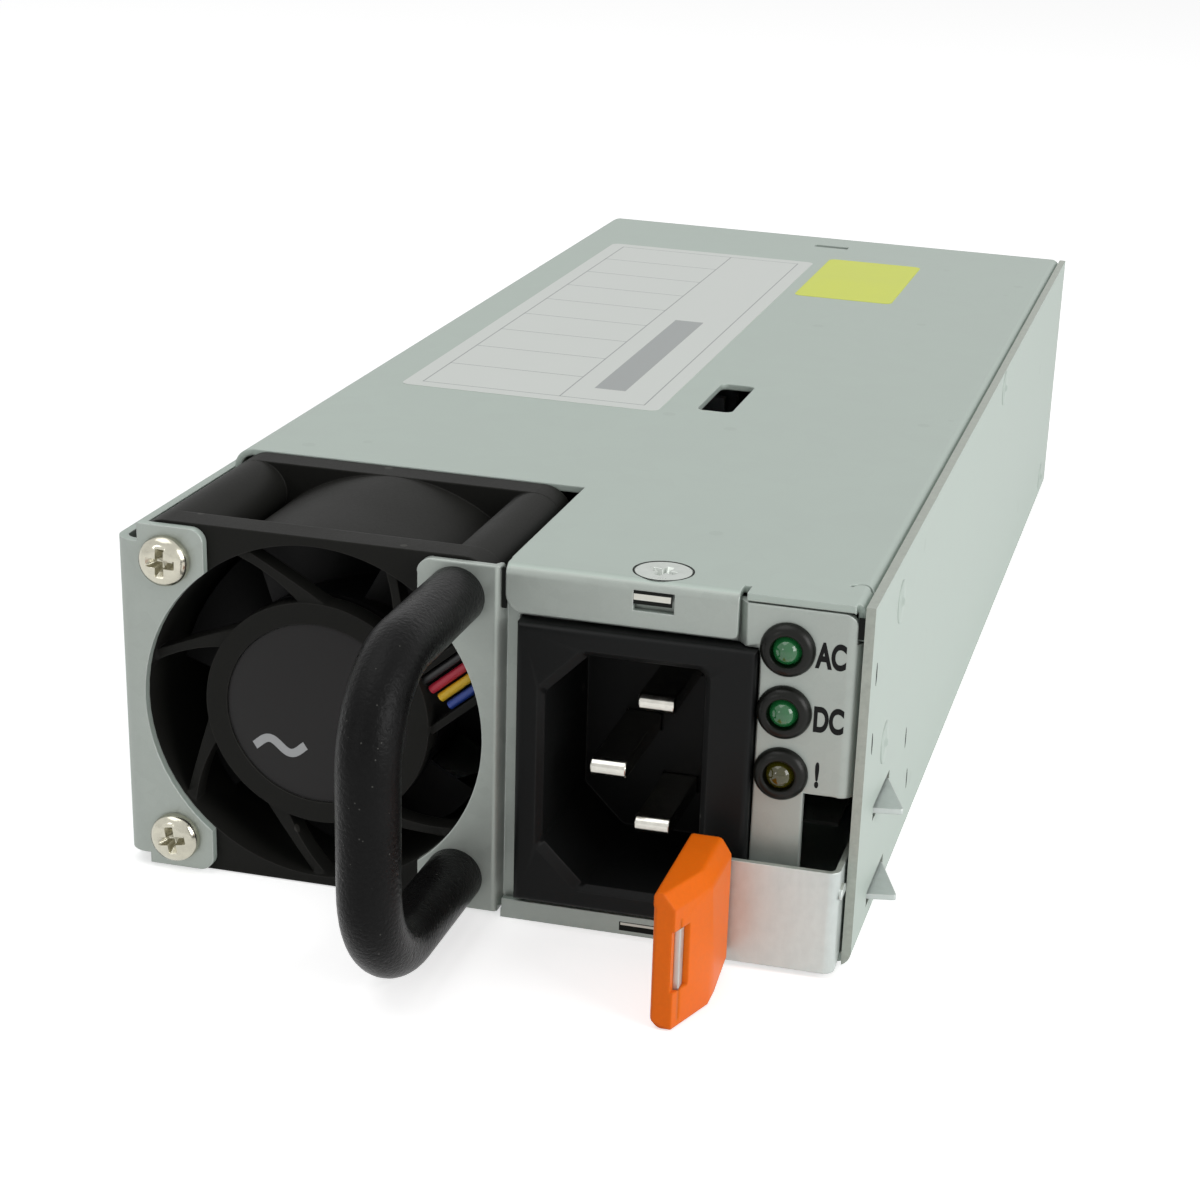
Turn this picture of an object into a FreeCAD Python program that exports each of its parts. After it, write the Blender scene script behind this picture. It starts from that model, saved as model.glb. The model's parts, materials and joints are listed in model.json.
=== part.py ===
import FreeCAD, Part
import math
import os

# Hot swap server power supply, millimetres, +Z up.
# While it is drawn, x = 0 is the left side, y = 0 the front face and z = 0 the base.
# save() then moves every piece so that the centre of the base is the origin.

V = FreeCAD.Vector
X, Y, Z = V(1, 0, 0), V(0, 1, 0), V(0, 0, 1)

# ---- case: its width and height are worked out from what it holds, further down
CASE_L = 190.0
WALL = 1.0
BEND_IN = 0.8
LEFT_BEND = 2.4
FIT = 0.15
SEAT = 0.05

# ---- top cover
COVER = 0.8
COVER_LEFT_DROP = 7.0
COVER_RIGHT_DROP = 4.0
COVER_GAP = 0.1
LIP_DROP = 5.1
LIP_TAB_W, LIP_TAB_H, LIP_TAB_DOWN = 4.3, 2.2, 2.2
TOP_SLOT_W, TOP_SLOT_L = 4.6, 14.5
CLIP_W, CLIP_L = 5.8, 2.0
COVER_NOTCH_R, COVER_NOTCH_W = 1.3, 0.4
COVER_SCREW_Y = 3.8
SCREW_CSK_R, SCREW_R, SCREW_LEN = 3.1, 1.45, 5.0

# ---- front panel
PANEL = 1.0
PANEL_LOW = 0.4
PANEL_TOP_DROP = 0.4
JOGGLE = 1.05
LED_PLATE_DROP = 1.0
RIGHT_FLANGE = 9.0
FLANGE_TOP_DROP = 4.2
LATCH_GAP_W = 6.2
TAB_R, LED_CORNER = 1.6, 1.4

# ---- fan
FAN = 40.0
FAN_DEPTH = 28.0
FAN_SIDE_GAP, FAN_TOP_GAP = 1.1, 0.1
FAN_SCREW_INSET = 4.0
FAN_FLANGE = 3.6
FAN_CORNER_R = 3.5
FAN_RIM = 1.0
FAN_HOLE_R = 2.05
FAN_TAB_SPAN = 8.2
STATOR_R = 12.6
STATOR_T = 2.8
LABEL_R, LABEL_DEEP = 10.25, 0.35
STRUTS = 7
STRUT_FIRST = 13.5
STRUT_SWEEP = 26.0
STRUT_W = 1.5
CHANNEL_W = 6.6
CHANNEL_FLOOR = 0.8
CHANNEL_ROOT, CHANNEL_TILT = 14.0, 40.0
TUBE_R, TUBE_GAP = 3.5, 0.4
HUB_FLOOR, BOSS_LEN = 1.6, 3.4
BEARING_R, BEARING_T = 2.5, 2.3
SHAFT_R = 1.0
SHAFT_FIT = 0.04
ROTOR_GAP = 0.3
ROTOR_WALL = 0.8
YOKE_WALL = 0.7
MAGNET_WALL, MAGNET_LEN = 1.3, 11.0
CORE_LEN, CORE_GAP = 10.0, 0.5
COIL_PROUD = 1.1
BLADES = 7
BLADE_T = 0.9
BLADE_TIP_GAP = 0.7
BLADE_ROOT_TURN, BLADE_TIP_TURN = 38.0, 52.0

# ---- handle
HANDLE_D = 6.35
HANDLE_REACH = 25.3
HANDLE_BEND = 10.0
HANDLE_THREAD_R, HANDLE_THREAD_LEN = 1.5, 9.0
PAN_HEAD_R, PAN_HEAD_T = 2.75, 1.7

# ---- mains inlet (three-pin appliance inlet, turned a quarter turn)
FAN_INLET_GAP = 2.9
INLET_W = 25.3
INLET_BASE, INLET_TOP_DROP = 2.8, 5.8
INLET_PROUD = 1.2
INLET_DEEP = 24.0
CAVITY_W, CAVITY_H = 17.0, 26.0
CAVITY_DEEP = 17.0
CAVITY_INSET = 3.1
CAVITY_CORNER = 4.6
MOUTH_BEVEL = 0.7
PIN_PITCH = 14.0
PIN_ROW_IN, EARTH_IN = 11.0, 6.6
PIN_W, PIN_T = 4.0, 2.0
PIN_BACK, EARTH_LEAD = 4.2, 2.4
PIN_TAIL = 4.5

# ---- indicators, in the column between the inlet and the right side
LED_COLUMN = 11.7
LED_TOP_DROP, LED_PITCH = 5.45, 6.8
LED_R = 1.5
LED_LEN = 7.2
BEZEL_R, BEZEL_BODY_R, BEZEL_PROUD, BEZEL_DEEP = 2.9, 2.5, 1.1, 4.8
LED_BOARD_Y, LED_BOARD_T = 8.0, 1.2

# ---- release latch
STRIP = 0.6
STRIP_BEND = 0.6
LATCH_STAND = 2.8
LATCH_WALL_GAP = 0.3
LATCH_REACH = 14.4
LATCH_PIVOT_Y = 57.8
LATCH_LOW = (0.6, 12.2)
LATCH_WEB = (3.8, 14.6)
LATCH_STEP = 2.3
LATCH_NECK = 1.8
LATCH_FOOT_LEN = 14.0
RIVET_R, RIVET_HEAD_R, RIVET_HEAD_T = 1.2, 2.1, 0.7
STOP_R, STOP_Y, STOP_Z = 1.3, -1.4, 9.0
TOOTH_Y = (8.8, 17.8)
TOOTH_OUT = 3.1
TOOTH_APEX = 1.0
SLOT_FIT = 0.55
GRIP_Y = (-19.0, -4.2)
GRIP_T = 4.5
GRIP_Z = (0.2, 15.0)
GRIP_CORNER = (2.3, 6.3)
GRIP_TOP_BEVEL = (1.2, 1.6)
GRIP_HEEL = (5.6, 1.4)
GRIP_EDGE = 0.9
GRIP_MOUTH = (1.9, 6.8)

# ---- circuit board and what stands on it
BOARD_GAP = 2.0
BOARD_BEHIND_FAN, BOARD_REAR_GAP = 5.6, 4.0
BOARD_Z, BOARD_T = 6.0, 1.6
EDGE_W = 40.0
EDGE_OUT = 9.0
EDGE_SIDE_FIT = 0.7
CONTACT_PITCH, CONTACT_W, CONTACT_LEN, CONTACT_T = 4.0, 3.0, 7.0, 0.1
STANDOFF_R, STANDOFF_INSET = 2.5, 4.0
SHEET_T = 0.4
WIRE_R = 0.5
WIRE_PITCH = 1.25
CHOKE_IN, CHOKE_R, CHOKE_HOLE, CHOKE_T = 15.0, 10.5, 5.5, 9.0
CHOKE_WIRE = 1.9
FAN_PLUG_W, FAN_PLUG_T, FAN_PLUG_H = 9.4, 5.0, 6.0
FUSE_R, FUSE_CAP, FUSE_LEN = 2.9, 2.4, 10.0
LEAD_R = 1.0
HEADROOM = 1.8
PART_GAP = 4.0
FILTER_LEN = 20.0
TRANSFORMER_W, TRANSFORMER_L, TRANSFORMER_LEG = 30.0, 18.0, 6.0
PFC_W, PFC_L, PFC_LEG = 22.0, 20.0, 5.0
SINK_WALL, SINK_FINS, FIN_T = 2.0, 6, 1.2
PACKAGE_T, PACKAGE_W, PACKAGE_H = 2.0, 10.0, 15.0
OUTPUT_CAN_R, OUTPUT_CAN_STEP = 5.0, 12.0
OUTPUT_CHOKE_R, OUTPUT_CHOKE_T = 9.9, 10.0
OUTPUT_BAY = 30.0
OUTPUT_SINK_L = 42.0
CONTROL_L, CONTROL_T = 42.0, 1.2

# ---- rear vents
VENT_FLATS, VENT_PITCH = 5.6, 6.9
VENT_SIDE, VENT_LIFT, VENT_TOP = 6.0, 7.4, 4.2

# ---- worked out from the values above, left to right and front to back
FAN_X = WALL + FAN_SIDE_GAP + FAN / 2
FAN_RIGHT = FAN_X + FAN / 2
INLET_X = (FAN_RIGHT + FAN_INLET_GAP, FAN_RIGHT + FAN_INLET_GAP + INLET_W)
CASE_W = INLET_X[1] + LED_COLUMN
CASE_H = FAN + 2 * FAN_TOP_GAP
CENTRE_Z = CASE_H / 2
INNER_L, INNER_R = WALL, CASE_W - WALL
COVER_X = (WALL + COVER_GAP, CASE_W - WALL - COVER_GAP)
UNDER = CASE_H - COVER
TOP_CLEAR = UNDER - SEAT
FAN_Y = (PANEL + COVER_GAP, PANEL + COVER_GAP + FAN_DEPTH)
CUT_X = FAN_RIGHT + 1.3
CUT_Y = FAN_Y[1] + 0.3
HALF_PITCH = FAN / 2 - FAN_SCREW_INSET
FAN_BORE_R = FAN / 2 - FAN_RIM
FAN_TAB_HALF = FAN / 2 - FAN_TAB_SPAN
FAN_TAB_RIGHT = FAN_RIGHT + 0.4
STATOR_Y = (FAN_Y[0] + 0.3, FAN_Y[0] + 0.3 + STATOR_T)
ROTOR_R = STATOR_R - ROTOR_GAP
ROTOR_Y = (STATOR_Y[1] + 1.7, FAN_Y[1] - 2.0)
TUBE_LEN = ROTOR_Y[1] - HUB_FLOOR - BOSS_LEN - TUBE_GAP - STATOR_Y[1]
BLADE_TIP_R = FAN_BORE_R - BLADE_TIP_GAP
LIP_X = (CUT_X + 0.1, INLET_X[1] - 2.3)
LIP_TAB_X = INLET_X[0] + 0.56 * INLET_W
LED_PLATE_LEFT = INLET_X[1] - 1.3
LED_X = INLET_X[1] + BEZEL_R + 0.1
LED_Z = [CASE_H - LED_TOP_DROP - LED_PITCH * i for i in range(3)]
FLANGE_TOP = CASE_H - FLANGE_TOP_DROP
LATCH_GAP_X, LATCH_GAP_TOP = CASE_W - LATCH_GAP_W, LED_Z[2] - 1.95
INLET_Z = (INLET_BASE, CASE_H - INLET_TOP_DROP)
CAVITY_X = INLET_X[0] + CAVITY_INSET
CAVITY_Z = (sum(INLET_Z) - CAVITY_H) / 2
PIN_Z = sum(INLET_Z) / 2
PIN_ROW_X, EARTH_X = CAVITY_X + PIN_ROW_IN, CAVITY_X + EARTH_IN
STRIP_OUT = CASE_W - WALL - LATCH_WALL_GAP
STRIP_FRONT = -LATCH_STAND - STRIP
LATCH_LEFT = CASE_W - LATCH_REACH
BOARD_X = (WALL + BOARD_GAP, CASE_W - WALL - BOARD_GAP)
BOARD_Y = (CUT_Y + BOARD_BEHIND_FAN, CASE_L - BOARD_REAR_GAP)
BOARD_TOP = BOARD_Z + BOARD_T
NOTCH_X, NOTCH_Y = LATCH_GAP_X - 1.3, LATCH_PIVOT_Y + 3
EDGE_X = (CASE_W / 2 - EDGE_W / 2, CASE_W / 2 + EDGE_W / 2)
STANDOFFS = ((BOARD_X[0] + STANDOFF_INSET, BOARD_Y[0] + 5),
             (BOARD_X[1] - STANDOFF_INSET, LATCH_PIVOT_Y + LATCH_FOOT_LEN + STANDOFF_INSET),
             (BOARD_X[0] + STANDOFF_INSET, BOARD_Y[1] - 6), (BOARD_X[1] - STANDOFF_INSET, BOARD_Y[1] - 6))
CHOKE_X, CHOKE_Y = INLET_X[0] + CHOKE_IN, BOARD_Y[0] + 6
CHOKE_Z = BOARD_TOP + CHOKE_R + CHOKE_WIRE + 0.2
FAN_PLUG = ((CUT_X - 4.4, CUT_X - 4.4 + FAN_PLUG_W), (BOARD_Y[0] + 5.5, BOARD_Y[0] + 5.5 + FAN_PLUG_T))
LEAD_END_Y = BOARD_Y[0] + 2.5
WIRE_LANE = (FAN_RIGHT + INLET_X[0]) / 2
INNER_TOP = UNDER - HEADROOM
MIDDLE_Y = BOARD_Y[0] + FILTER_LEN + 7
OUTPUT_Y = CASE_L - OUTPUT_BAY
TRANSFORMER_Y = OUTPUT_Y - TRANSFORMER_L - 24
BULK_R = (INNER_TOP - 0.8 - BOARD_TOP) / 2
BULK_Y = (MIDDLE_Y, TRANSFORMER_Y - 10)
SINK_X = WALL + PART_GAP + 0.4 + 2 * BULK_R + PACKAGE_T + 1.4


# ---------------------------------------------------------------- tools

def block(x, y, z):
    """Solid between the low and high values of x, y and z."""
    return Part.makeBox(x[1] - x[0], y[1] - y[0], z[1] - z[0], V(x[0], y[0], z[0]))


def ring(centre, axis, outer, inner, length):
    """Tube that starts at centre and runs along axis."""
    body = Part.makeCylinder(outer, length, centre, axis)
    return body.cut(Part.makeCylinder(inner, length, centre, axis))


def drum(spot, axis, radius, length, end_radius=None, sides=16):
    """Many-sided bar or taper along axis, for small round pieces that repeat."""
    side = X if abs(axis.z) > 0.5 else axis.cross(Z).normalize()
    up = axis.cross(side)
    rings = []
    for centre, size in ((spot, radius), (spot + axis * length, end_radius or radius)):
        loop = []
        for k in range(sides + 1):
            turn = 2 * math.pi * k / sides
            loop.append(centre + (side * math.cos(turn) + up * math.sin(turn)) * size)
        rings.append(Part.makePolygon(loop[:-1] + loop[:1]))
    return Part.makeLoft(rings, True, True)


def on_plane(plane, u, v, level):
    """Point of a drawing plane, level along the axis that it is pushed along."""
    if plane == "xy":
        return V(u, v, level)
    if plane == "xz":
        return V(u, level, v)
    return V(level, u, v)


def rounded_corner(before, here, after, radius):
    """Start, middle and end of the arc that rounds one corner."""
    into = (before - here).normalize()
    out = (after - here).normalize()
    half = into.getAngle(out) / 2
    centre = here + (into + out).normalize() * (radius / math.sin(half))
    middle = centre + (here - centre).normalize() * radius
    reach = radius / math.tan(half)
    return here + into * reach, middle, here + out * reach


def outline(corners, plane, level):
    """Closed wire through corners (u, v) or (u, v, r), where r rounds the corner."""
    flat = [on_plane(plane, c[0], c[1], level) for c in corners]
    turns = []
    for i, corner in enumerate(corners):
        radius = corner[2] if len(corner) > 2 else 0
        after = flat[(i + 1) % len(flat)]
        if radius > 0:
            turns.append(rounded_corner(flat[i - 1], flat[i], after, radius))
        else:
            turns.append((flat[i], None, flat[i]))
    edges = []
    for i, (start, middle, end) in enumerate(turns):
        if middle:
            edges.append(Part.Arc(start, middle, end).toShape())
        following = turns[(i + 1) % len(turns)][0]
        if (following - end).Length > 1e-6:
            edges.append(Part.LineSegment(end, following).toShape())
    return Part.Wire(edges)


def plate(corners, plane, span):
    """Flat outline pushed from span[0] to span[1]."""
    face = Part.Face(outline(corners, plane, span[0]))
    return face.extrude(on_plane(plane, 0, 0, span[1] - span[0]))


def frame_corners(u, v, radius=0):
    """Corners of a rectangle with rounded corners."""
    return [(u[0], v[0], radius), (u[1], v[0], radius), (u[1], v[1], radius), (u[0], v[1], radius)]


def bent_sheet(line, thickness, plane, span):
    """Bent sheet on the left of line; a point (u, v, r) is a bend of inside radius r."""
    spots = [V(p[0], p[1], 0) for p in line]
    ways = [(b - a).normalize() for a, b in zip(spots, spots[1:])]
    left = [V(-w.y, w.x, 0) for w in ways]
    first = spots[0] + left[0] * thickness
    near, far = [(spots[0].x, spots[0].y)], [(first.x, first.y)]
    for i in range(1, len(spots) - 1):
        bend = line[i][2] if len(line[i]) > 2 else 0
        before, after = left[i - 1], left[i]
        shift = (before + after) * (thickness / (1 + before.dot(after)))
        inside = spots[i] + shift
        turns_left = ways[i - 1].cross(ways[i]).z > 0
        wide = bend + thickness if bend else 0
        near.append((spots[i].x, spots[i].y, wide if turns_left else bend))
        far.append((inside.x, inside.y, bend if turns_left else wide))
    last = spots[-1] + left[-1] * thickness
    near.append((spots[-1].x, spots[-1].y))
    far.append((last.x, last.y))
    return plate(near + far[::-1], plane, span)


def cord(points, radius):
    """Plain eight-sided cord along straight runs joined by tangent arcs."""
    edges, here = [], points[0]
    for i in range(1, len(points) - 1):
        into = points[i - 1] - points[i]
        out = points[i + 1] - points[i]
        half = into.getAngle(out) / 2
        bend = 0.45 * min(into.Length, out.Length) * math.tan(half)
        start, middle, end = rounded_corner(points[i - 1], points[i], points[i + 1], bend)
        edges.append(Part.LineSegment(here, start).toShape())
        edges.append(Part.Arc(start, middle, end).toShape())
        here = end
    edges.append(Part.LineSegment(here, points[-1]).toShape())
    path = Part.Wire(edges)
    way = (points[1] - points[0]).normalize()
    side = way.cross(Z).normalize()
    up = side.cross(way)
    ring_points = []
    for step in range(9):
        turn = math.radians(45 * step + 22.5)
        ring_points.append(points[0] + (side * math.cos(turn) + up * math.sin(turn)) * radius)
    return path.makePipeShell([Part.makePolygon(ring_points)], True, False)


def save(name, *solids):
    """Write one sub-part, moved so that the middle of the base is the origin."""
    shape = solids[0] if len(solids) == 1 else Part.makeCompound(list(solids))
    shape = shape.copy()
    shape.translate(V(-CASE_W / 2, -CASE_L / 2, 0))
    shape.exportStep("parts/" + name + ".step")


# ---------------------------------------------------------------- case

def hex_vents():
    """Cutters for the honeycomb of air holes in the rear wall."""
    radius = VENT_FLATS / math.sqrt(3)
    row_step = VENT_PITCH * math.sqrt(3) / 2
    low = BOARD_TOP + VENT_LIFT
    rows = int((CASE_H - VENT_TOP - low) / row_step)
    columns = int((CASE_W - 2 * (WALL + VENT_SIDE)) / VENT_PITCH)
    cutters = []
    for row in range(rows):
        for column in range(columns):
            u = WALL + VENT_SIDE + VENT_PITCH * (column + 0.3 + 0.5 * (row % 2))
            v = low + row_step * (row + 0.5)
            corners = []
            for k in range(6):
                turn = math.radians(60 * k + 30)
                corners.append((u + radius * math.cos(turn), v + radius * math.sin(turn)))
            cutters.append(plate(corners, "xz", (CASE_L - 2 * WALL, CASE_L + WALL)))
    return cutters


def rear_wall():
    left, right = COVER_X[0] + COVER + COVER_GAP, COVER_X[1] - COVER - COVER_GAP
    left_low, right_low = CASE_H - COVER_LEFT_DROP - COVER_GAP, CASE_H - COVER_RIGHT_DROP - COVER_GAP
    corners = [(INNER_L, 0), (INNER_R, 0), (INNER_R, right_low), (right, right_low), (right, TOP_CLEAR, 0.6),
               (left, TOP_CLEAR, LEFT_BEND - COVER), (left, left_low), (INNER_L, left_low)]
    wall = plate(corners, "xz", (CASE_L - WALL, CASE_L))
    x = (EDGE_X[0] - EDGE_SIDE_FIT, EDGE_X[1] + EDGE_SIDE_FIT)
    z = (BOARD_Z - 1.6, BOARD_TOP + 3.0)
    mouth = plate(frame_corners(x, z, 1.0), "xz", (CASE_L - 2 * WALL, CASE_L + WALL))
    return wall.cut([mouth] + hex_vents())


def fan_side_flange():
    """Front edge of the left side, bent in to hold the left corners of the fan."""
    edge = FAN_X - FAN_TAB_HALF
    line = [(0, CUT_Y), (0, 0, LEFT_BEND - WALL), (edge, 0)]
    sheet = bent_sheet(line, WALL, "xy", (PANEL_LOW, CASE_H - PANEL_TOP_DROP))
    face = [(-1, PANEL_LOW), (edge, PANEL_LOW, TAB_R),
            (edge, CASE_H - PANEL_TOP_DROP, TAB_R), (-1, CASE_H - PANEL_TOP_DROP)]
    sheet = sheet.common(plate(face, "xz", (-1, CUT_Y + 1)))
    relief_x = (-1, LEFT_BEND + 0.5)
    relief = block(relief_x, (-1, CUT_Y + 1), (CASE_H - LEFT_BEND, CASE_H))
    foot = block(relief_x, (-1, LEFT_BEND + 0.5), (-1, WALL + 0.6))
    hole = Part.makeCylinder(FAN_BORE_R, 3 * WALL, V(FAN_X, -WALL, CENTRE_Z), Y)
    screws = []
    for side in (-1, 1):
        spot = V(FAN_X - HALF_PITCH, -WALL, CENTRE_Z + side * HALF_PITCH)
        screws.append(Part.makeCylinder(FAN_HOLE_R, 3 * WALL, spot, Y))
    return sheet.cut([relief, foot, hole] + screws)


def latch_slots():
    """Cutters for the slots that the latch teeth pass through."""
    cutters = []
    y = (TOOTH_Y[0] - SLOT_FIT, TOOTH_Y[1] + 2 * SLOT_FIT)
    for low in (LATCH_WEB[0], LATCH_WEB[1] - STRIP):
        z = (low - SLOT_FIT, low + STRIP + SLOT_FIT)
        cutters.append(block((CASE_W - 2 * WALL, CASE_W + WALL), y, z))
    return cutters


def chassis():
    """Base, both sides, rear wall and the flange left of the fan: one bent sheet."""
    left_top = CASE_H - LEFT_BEND
    section = [(0, left_top), (0, 0, BEND_IN), (CASE_W, 0, BEND_IN), (CASE_W, CASE_H)]
    tray = bent_sheet(section, WALL, "xz", (0, CASE_L))
    fan_bay = block((WALL, CUT_X), (-1, CUT_Y), (-1, left_top))
    left_front = block((-1, WALL + 1), (-1, CUT_Y), (-1, CASE_H))
    panel_strip = block((LED_PLATE_LEFT - JOGGLE, INNER_R), (-1, JOGGLE), (-1, WALL + BEND_IN))
    tray = tray.cut([fan_bay, left_front, panel_strip] + latch_slots())
    lip = block((LIP_X[0], LIP_X[1]), (0, COVER), (0, INLET_Z[0] - 0.6))
    return tray.fuse([fan_side_flange(), rear_wall(), lip]).removeSplitter()


def countersink(top, margin):
    """Cutter or head of the flat screw that holds the cover's front edge."""
    deep = SCREW_CSK_R - SCREW_R
    spot = V(LIP_TAB_X, COVER_SCREW_Y, top - deep)
    return Part.makeCone(SCREW_R + margin, SCREW_CSK_R + margin, deep, spot, Z)


def cover_lip():
    drop = CASE_H - LIP_DROP
    line = [(CUT_Y / 3, CASE_H), (0, CASE_H, 0.4), (0, drop)]
    lip = bent_sheet(line, COVER, "yz", LIP_X)
    face = [(LIP_X[0], drop, 2.0), (LIP_X[1], drop, 0.6), (LIP_X[1], CASE_H + 1), (LIP_X[0], CASE_H + 1)]
    lip = lip.common(plate(face, "xz", (-1, CUT_Y)))
    slot_x = (LIP_TAB_X - LIP_TAB_W / 2, LIP_TAB_X + LIP_TAB_W / 2)
    slot_z = (CASE_H - LIP_TAB_DOWN - LIP_TAB_H / 2, CASE_H - LIP_TAB_DOWN + LIP_TAB_H / 2)
    return lip.cut(block(slot_x, (-1, COVER + 0.2), slot_z))


def top_cover():
    """Lid with bent sides, open over the fan, with a lip over the inlet."""
    section = [(COVER_X[1], CASE_H - COVER_RIGHT_DROP), (COVER_X[1], CASE_H, 0.4),
               (COVER_X[0], CASE_H, LEFT_BEND - COVER), (COVER_X[0], CASE_H - COVER_LEFT_DROP)]
    lid = bent_sheet(section, COVER, "xz", (COVER_GAP, CASE_L))
    fan_bay = block((-1, CUT_X), (-1, CUT_Y), (0, CASE_H + 1))
    front = block((CUT_X - 1, LIP_X[1] + 0.8), (-1, COVER + 1.6), (0, CASE_H + 1))
    slot_x, slot_y = (CUT_X + 3.5, CUT_X + 3.5 + TOP_SLOT_W), (CUT_Y + 38.6, CUT_Y + 38.6 + TOP_SLOT_L)
    slot = plate(frame_corners(slot_x, slot_y, 1.0), "xy", (UNDER - 1, CASE_H + 1))
    clip_x, clip_y = (CUT_X - 3.6, CUT_X - 3.6 + CLIP_W), (CASE_L - 6.5 - CLIP_L, CASE_L - 6.5)
    clip = block(clip_x, clip_y, (UNDER - 1, CASE_H + 1))
    start = V(COVER_X[1] - COVER - 0.6, CUT_Y / 5, UNDER - 1)
    bow = ring(start, Z, COVER_NOTCH_R, COVER_NOTCH_R - COVER_NOTCH_W, 4)
    bow = bow.common(block((start.x - COVER_NOTCH_R, CASE_W), (start.y, CUT_Y), (start.z, CASE_H + 1)))
    corner = block((COVER_X[1] - COVER - 0.1, CASE_W), (-1, PANEL + COVER_GAP), (0, CASE_H + 1))
    lid = lid.cut([fan_bay, front, corner, slot, clip, bow])
    hole = Part.makeCylinder(SCREW_R + SEAT, 4, V(LIP_TAB_X, COVER_SCREW_Y, UNDER - 2), Z)
    return lid.fuse(cover_lip()).removeSplitter().cut([hole, countersink(CASE_H + SEAT, SEAT)])


def cover_screw():
    deep = SCREW_CSK_R - SCREW_R
    shank = Part.makeCylinder(SCREW_R - SEAT, SCREW_LEN, V(LIP_TAB_X, COVER_SCREW_Y, CASE_H - SCREW_LEN), Z)
    head = countersink(CASE_H, 0)
    drive = block((LIP_TAB_X - 1.7, LIP_TAB_X + 1.7), (COVER_SCREW_Y - 0.35, COVER_SCREW_Y + 0.35),
                  (CASE_H - deep / 2, CASE_H + 1))
    cross = drive.copy()
    cross.rotate(V(LIP_TAB_X, COVER_SCREW_Y, 0), Z, 90)
    return shank.fuse(head).cut([drive, cross])


def front_panel():
    """Sheet that holds the inlet, the indicators and the right corners of the fan."""
    bend = 0.6
    line = [(FAN_X, 0), (FAN_TAB_RIGHT, 0), (FAN_TAB_RIGHT + JOGGLE, JOGGLE),
            (LED_PLATE_LEFT - JOGGLE, JOGGLE), (LED_PLATE_LEFT, 0),
            (COVER_X[1], 0, bend), (COVER_X[1], RIGHT_FLANGE)]
    top, plate_top = CASE_H - PANEL_TOP_DROP, CASE_H - LED_PLATE_DROP
    sheet = bent_sheet(line, PANEL, "xy", (PANEL_LOW, top))
    edge = FAN_X + FAN_TAB_HALF
    face = [(edge, PANEL_LOW, TAB_R), (FAN_TAB_RIGHT + 0.4, PANEL_LOW), (FAN_TAB_RIGHT + 0.4, WALL + SEAT),
            (LED_PLATE_LEFT + 0.42 * PANEL, WALL + SEAT), (LED_PLATE_LEFT + 0.42 * PANEL, PANEL_LOW),
            (LATCH_GAP_X, PANEL_LOW), (LATCH_GAP_X, LATCH_GAP_TOP),
            (CASE_W, LATCH_GAP_TOP), (CASE_W, FLANGE_TOP),
            (COVER_X[1] - 0.6, FLANGE_TOP), (COVER_X[1] - 0.6, plate_top, LED_CORNER),
            (FAN_TAB_RIGHT + 0.4, plate_top), (FAN_TAB_RIGHT + 0.4, top, 0.4), (edge, top, TAB_R)]
    sheet = sheet.common(plate(face, "xz", (-1, RIGHT_FLANGE + 1)))
    ledge = block((LIP_TAB_X - 6, LIP_TAB_X + 6), (JOGGLE, COVER_SCREW_Y + 5), (plate_top - PANEL, plate_top))
    sheet = sheet.fuse(ledge).removeSplitter()
    inlet = block((INLET_X[0] - FIT, INLET_X[1] + FIT), (-1, 3 * PANEL), (INLET_Z[0] - FIT, INLET_Z[1] + FIT))
    relief = block((LED_X + BEZEL_R, CASE_W), (PANEL, RIGHT_FLANGE + 1), (FLANGE_TOP, CASE_H))
    hole = Part.makeCylinder(FAN_BORE_R, 3 * PANEL, V(FAN_X, -PANEL, CENTRE_Z), Y)
    cutters = [inlet, relief, hole, countersink(CASE_H + SEAT, SEAT)]
    cutters.append(Part.makeCylinder(SCREW_R + SEAT, 8, V(LIP_TAB_X, COVER_SCREW_Y, CASE_H - 8), Z))
    for z in LED_Z:
        cutters.append(Part.makeCylinder(BEZEL_BODY_R + SEAT, 3 * PANEL, V(LED_X, -PANEL, z), Y))
    for side in (-1, 1):
        spot = V(FAN_X + HALF_PITCH, -PANEL, CENTRE_Z + side * HALF_PITCH)
        cutters.append(Part.makeCylinder(HANDLE_THREAD_R + SEAT, 3 * PANEL, spot, Y))
    return sheet.cut(cutters)


# ---------------------------------------------------------------- fan

def polar(radius, degrees):
    turn = math.radians(degrees)
    return FAN_X + radius * math.cos(turn), CENTRE_Z + radius * math.sin(turn)


def curved_strut(start_angle):
    """Stator strut that leans most near the hub, where its root flares."""
    inner, outer = STATOR_R - 0.3, FAN_BORE_R + 0.3
    sides = []
    for side in (-1, 1):
        points = []
        for share, half in ((0, 1.1 * STRUT_W), (0.5, 0.45 * STRUT_W), (1, 0.5 * STRUT_W)):
            radius = inner + (outer - inner) * share
            lean = start_angle + STRUT_SWEEP * (share ** 0.7 - 1)
            across = math.degrees(side * half / radius)
            u, v = polar(radius, lean + across)
            points.append(V(u, STATOR_Y[0] + 0.4, v))
        sides.append(points)
    low, high = sides
    edges = [Part.Arc(*low).toShape(), Part.LineSegment(low[2], high[2]).toShape(),
             Part.Arc(*high[::-1]).toShape(), Part.LineSegment(high[0], low[0]).toShape()]
    face = Part.Face(Part.Wire(edges))
    return face.extrude(V(0, STATOR_Y[1] - STATOR_Y[0] - 0.4, 0))


def on_channel(along, across, y):
    """Point in the wire trough, which climbs aslant from the hub to the frame."""
    x, z = polar(STATOR_R, CHANNEL_ROOT)
    tilt = math.radians(CHANNEL_TILT)
    return V(x + along * math.cos(tilt) - across * math.sin(tilt), y,
             z + along * math.sin(tilt) + across * math.cos(tilt))


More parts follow.
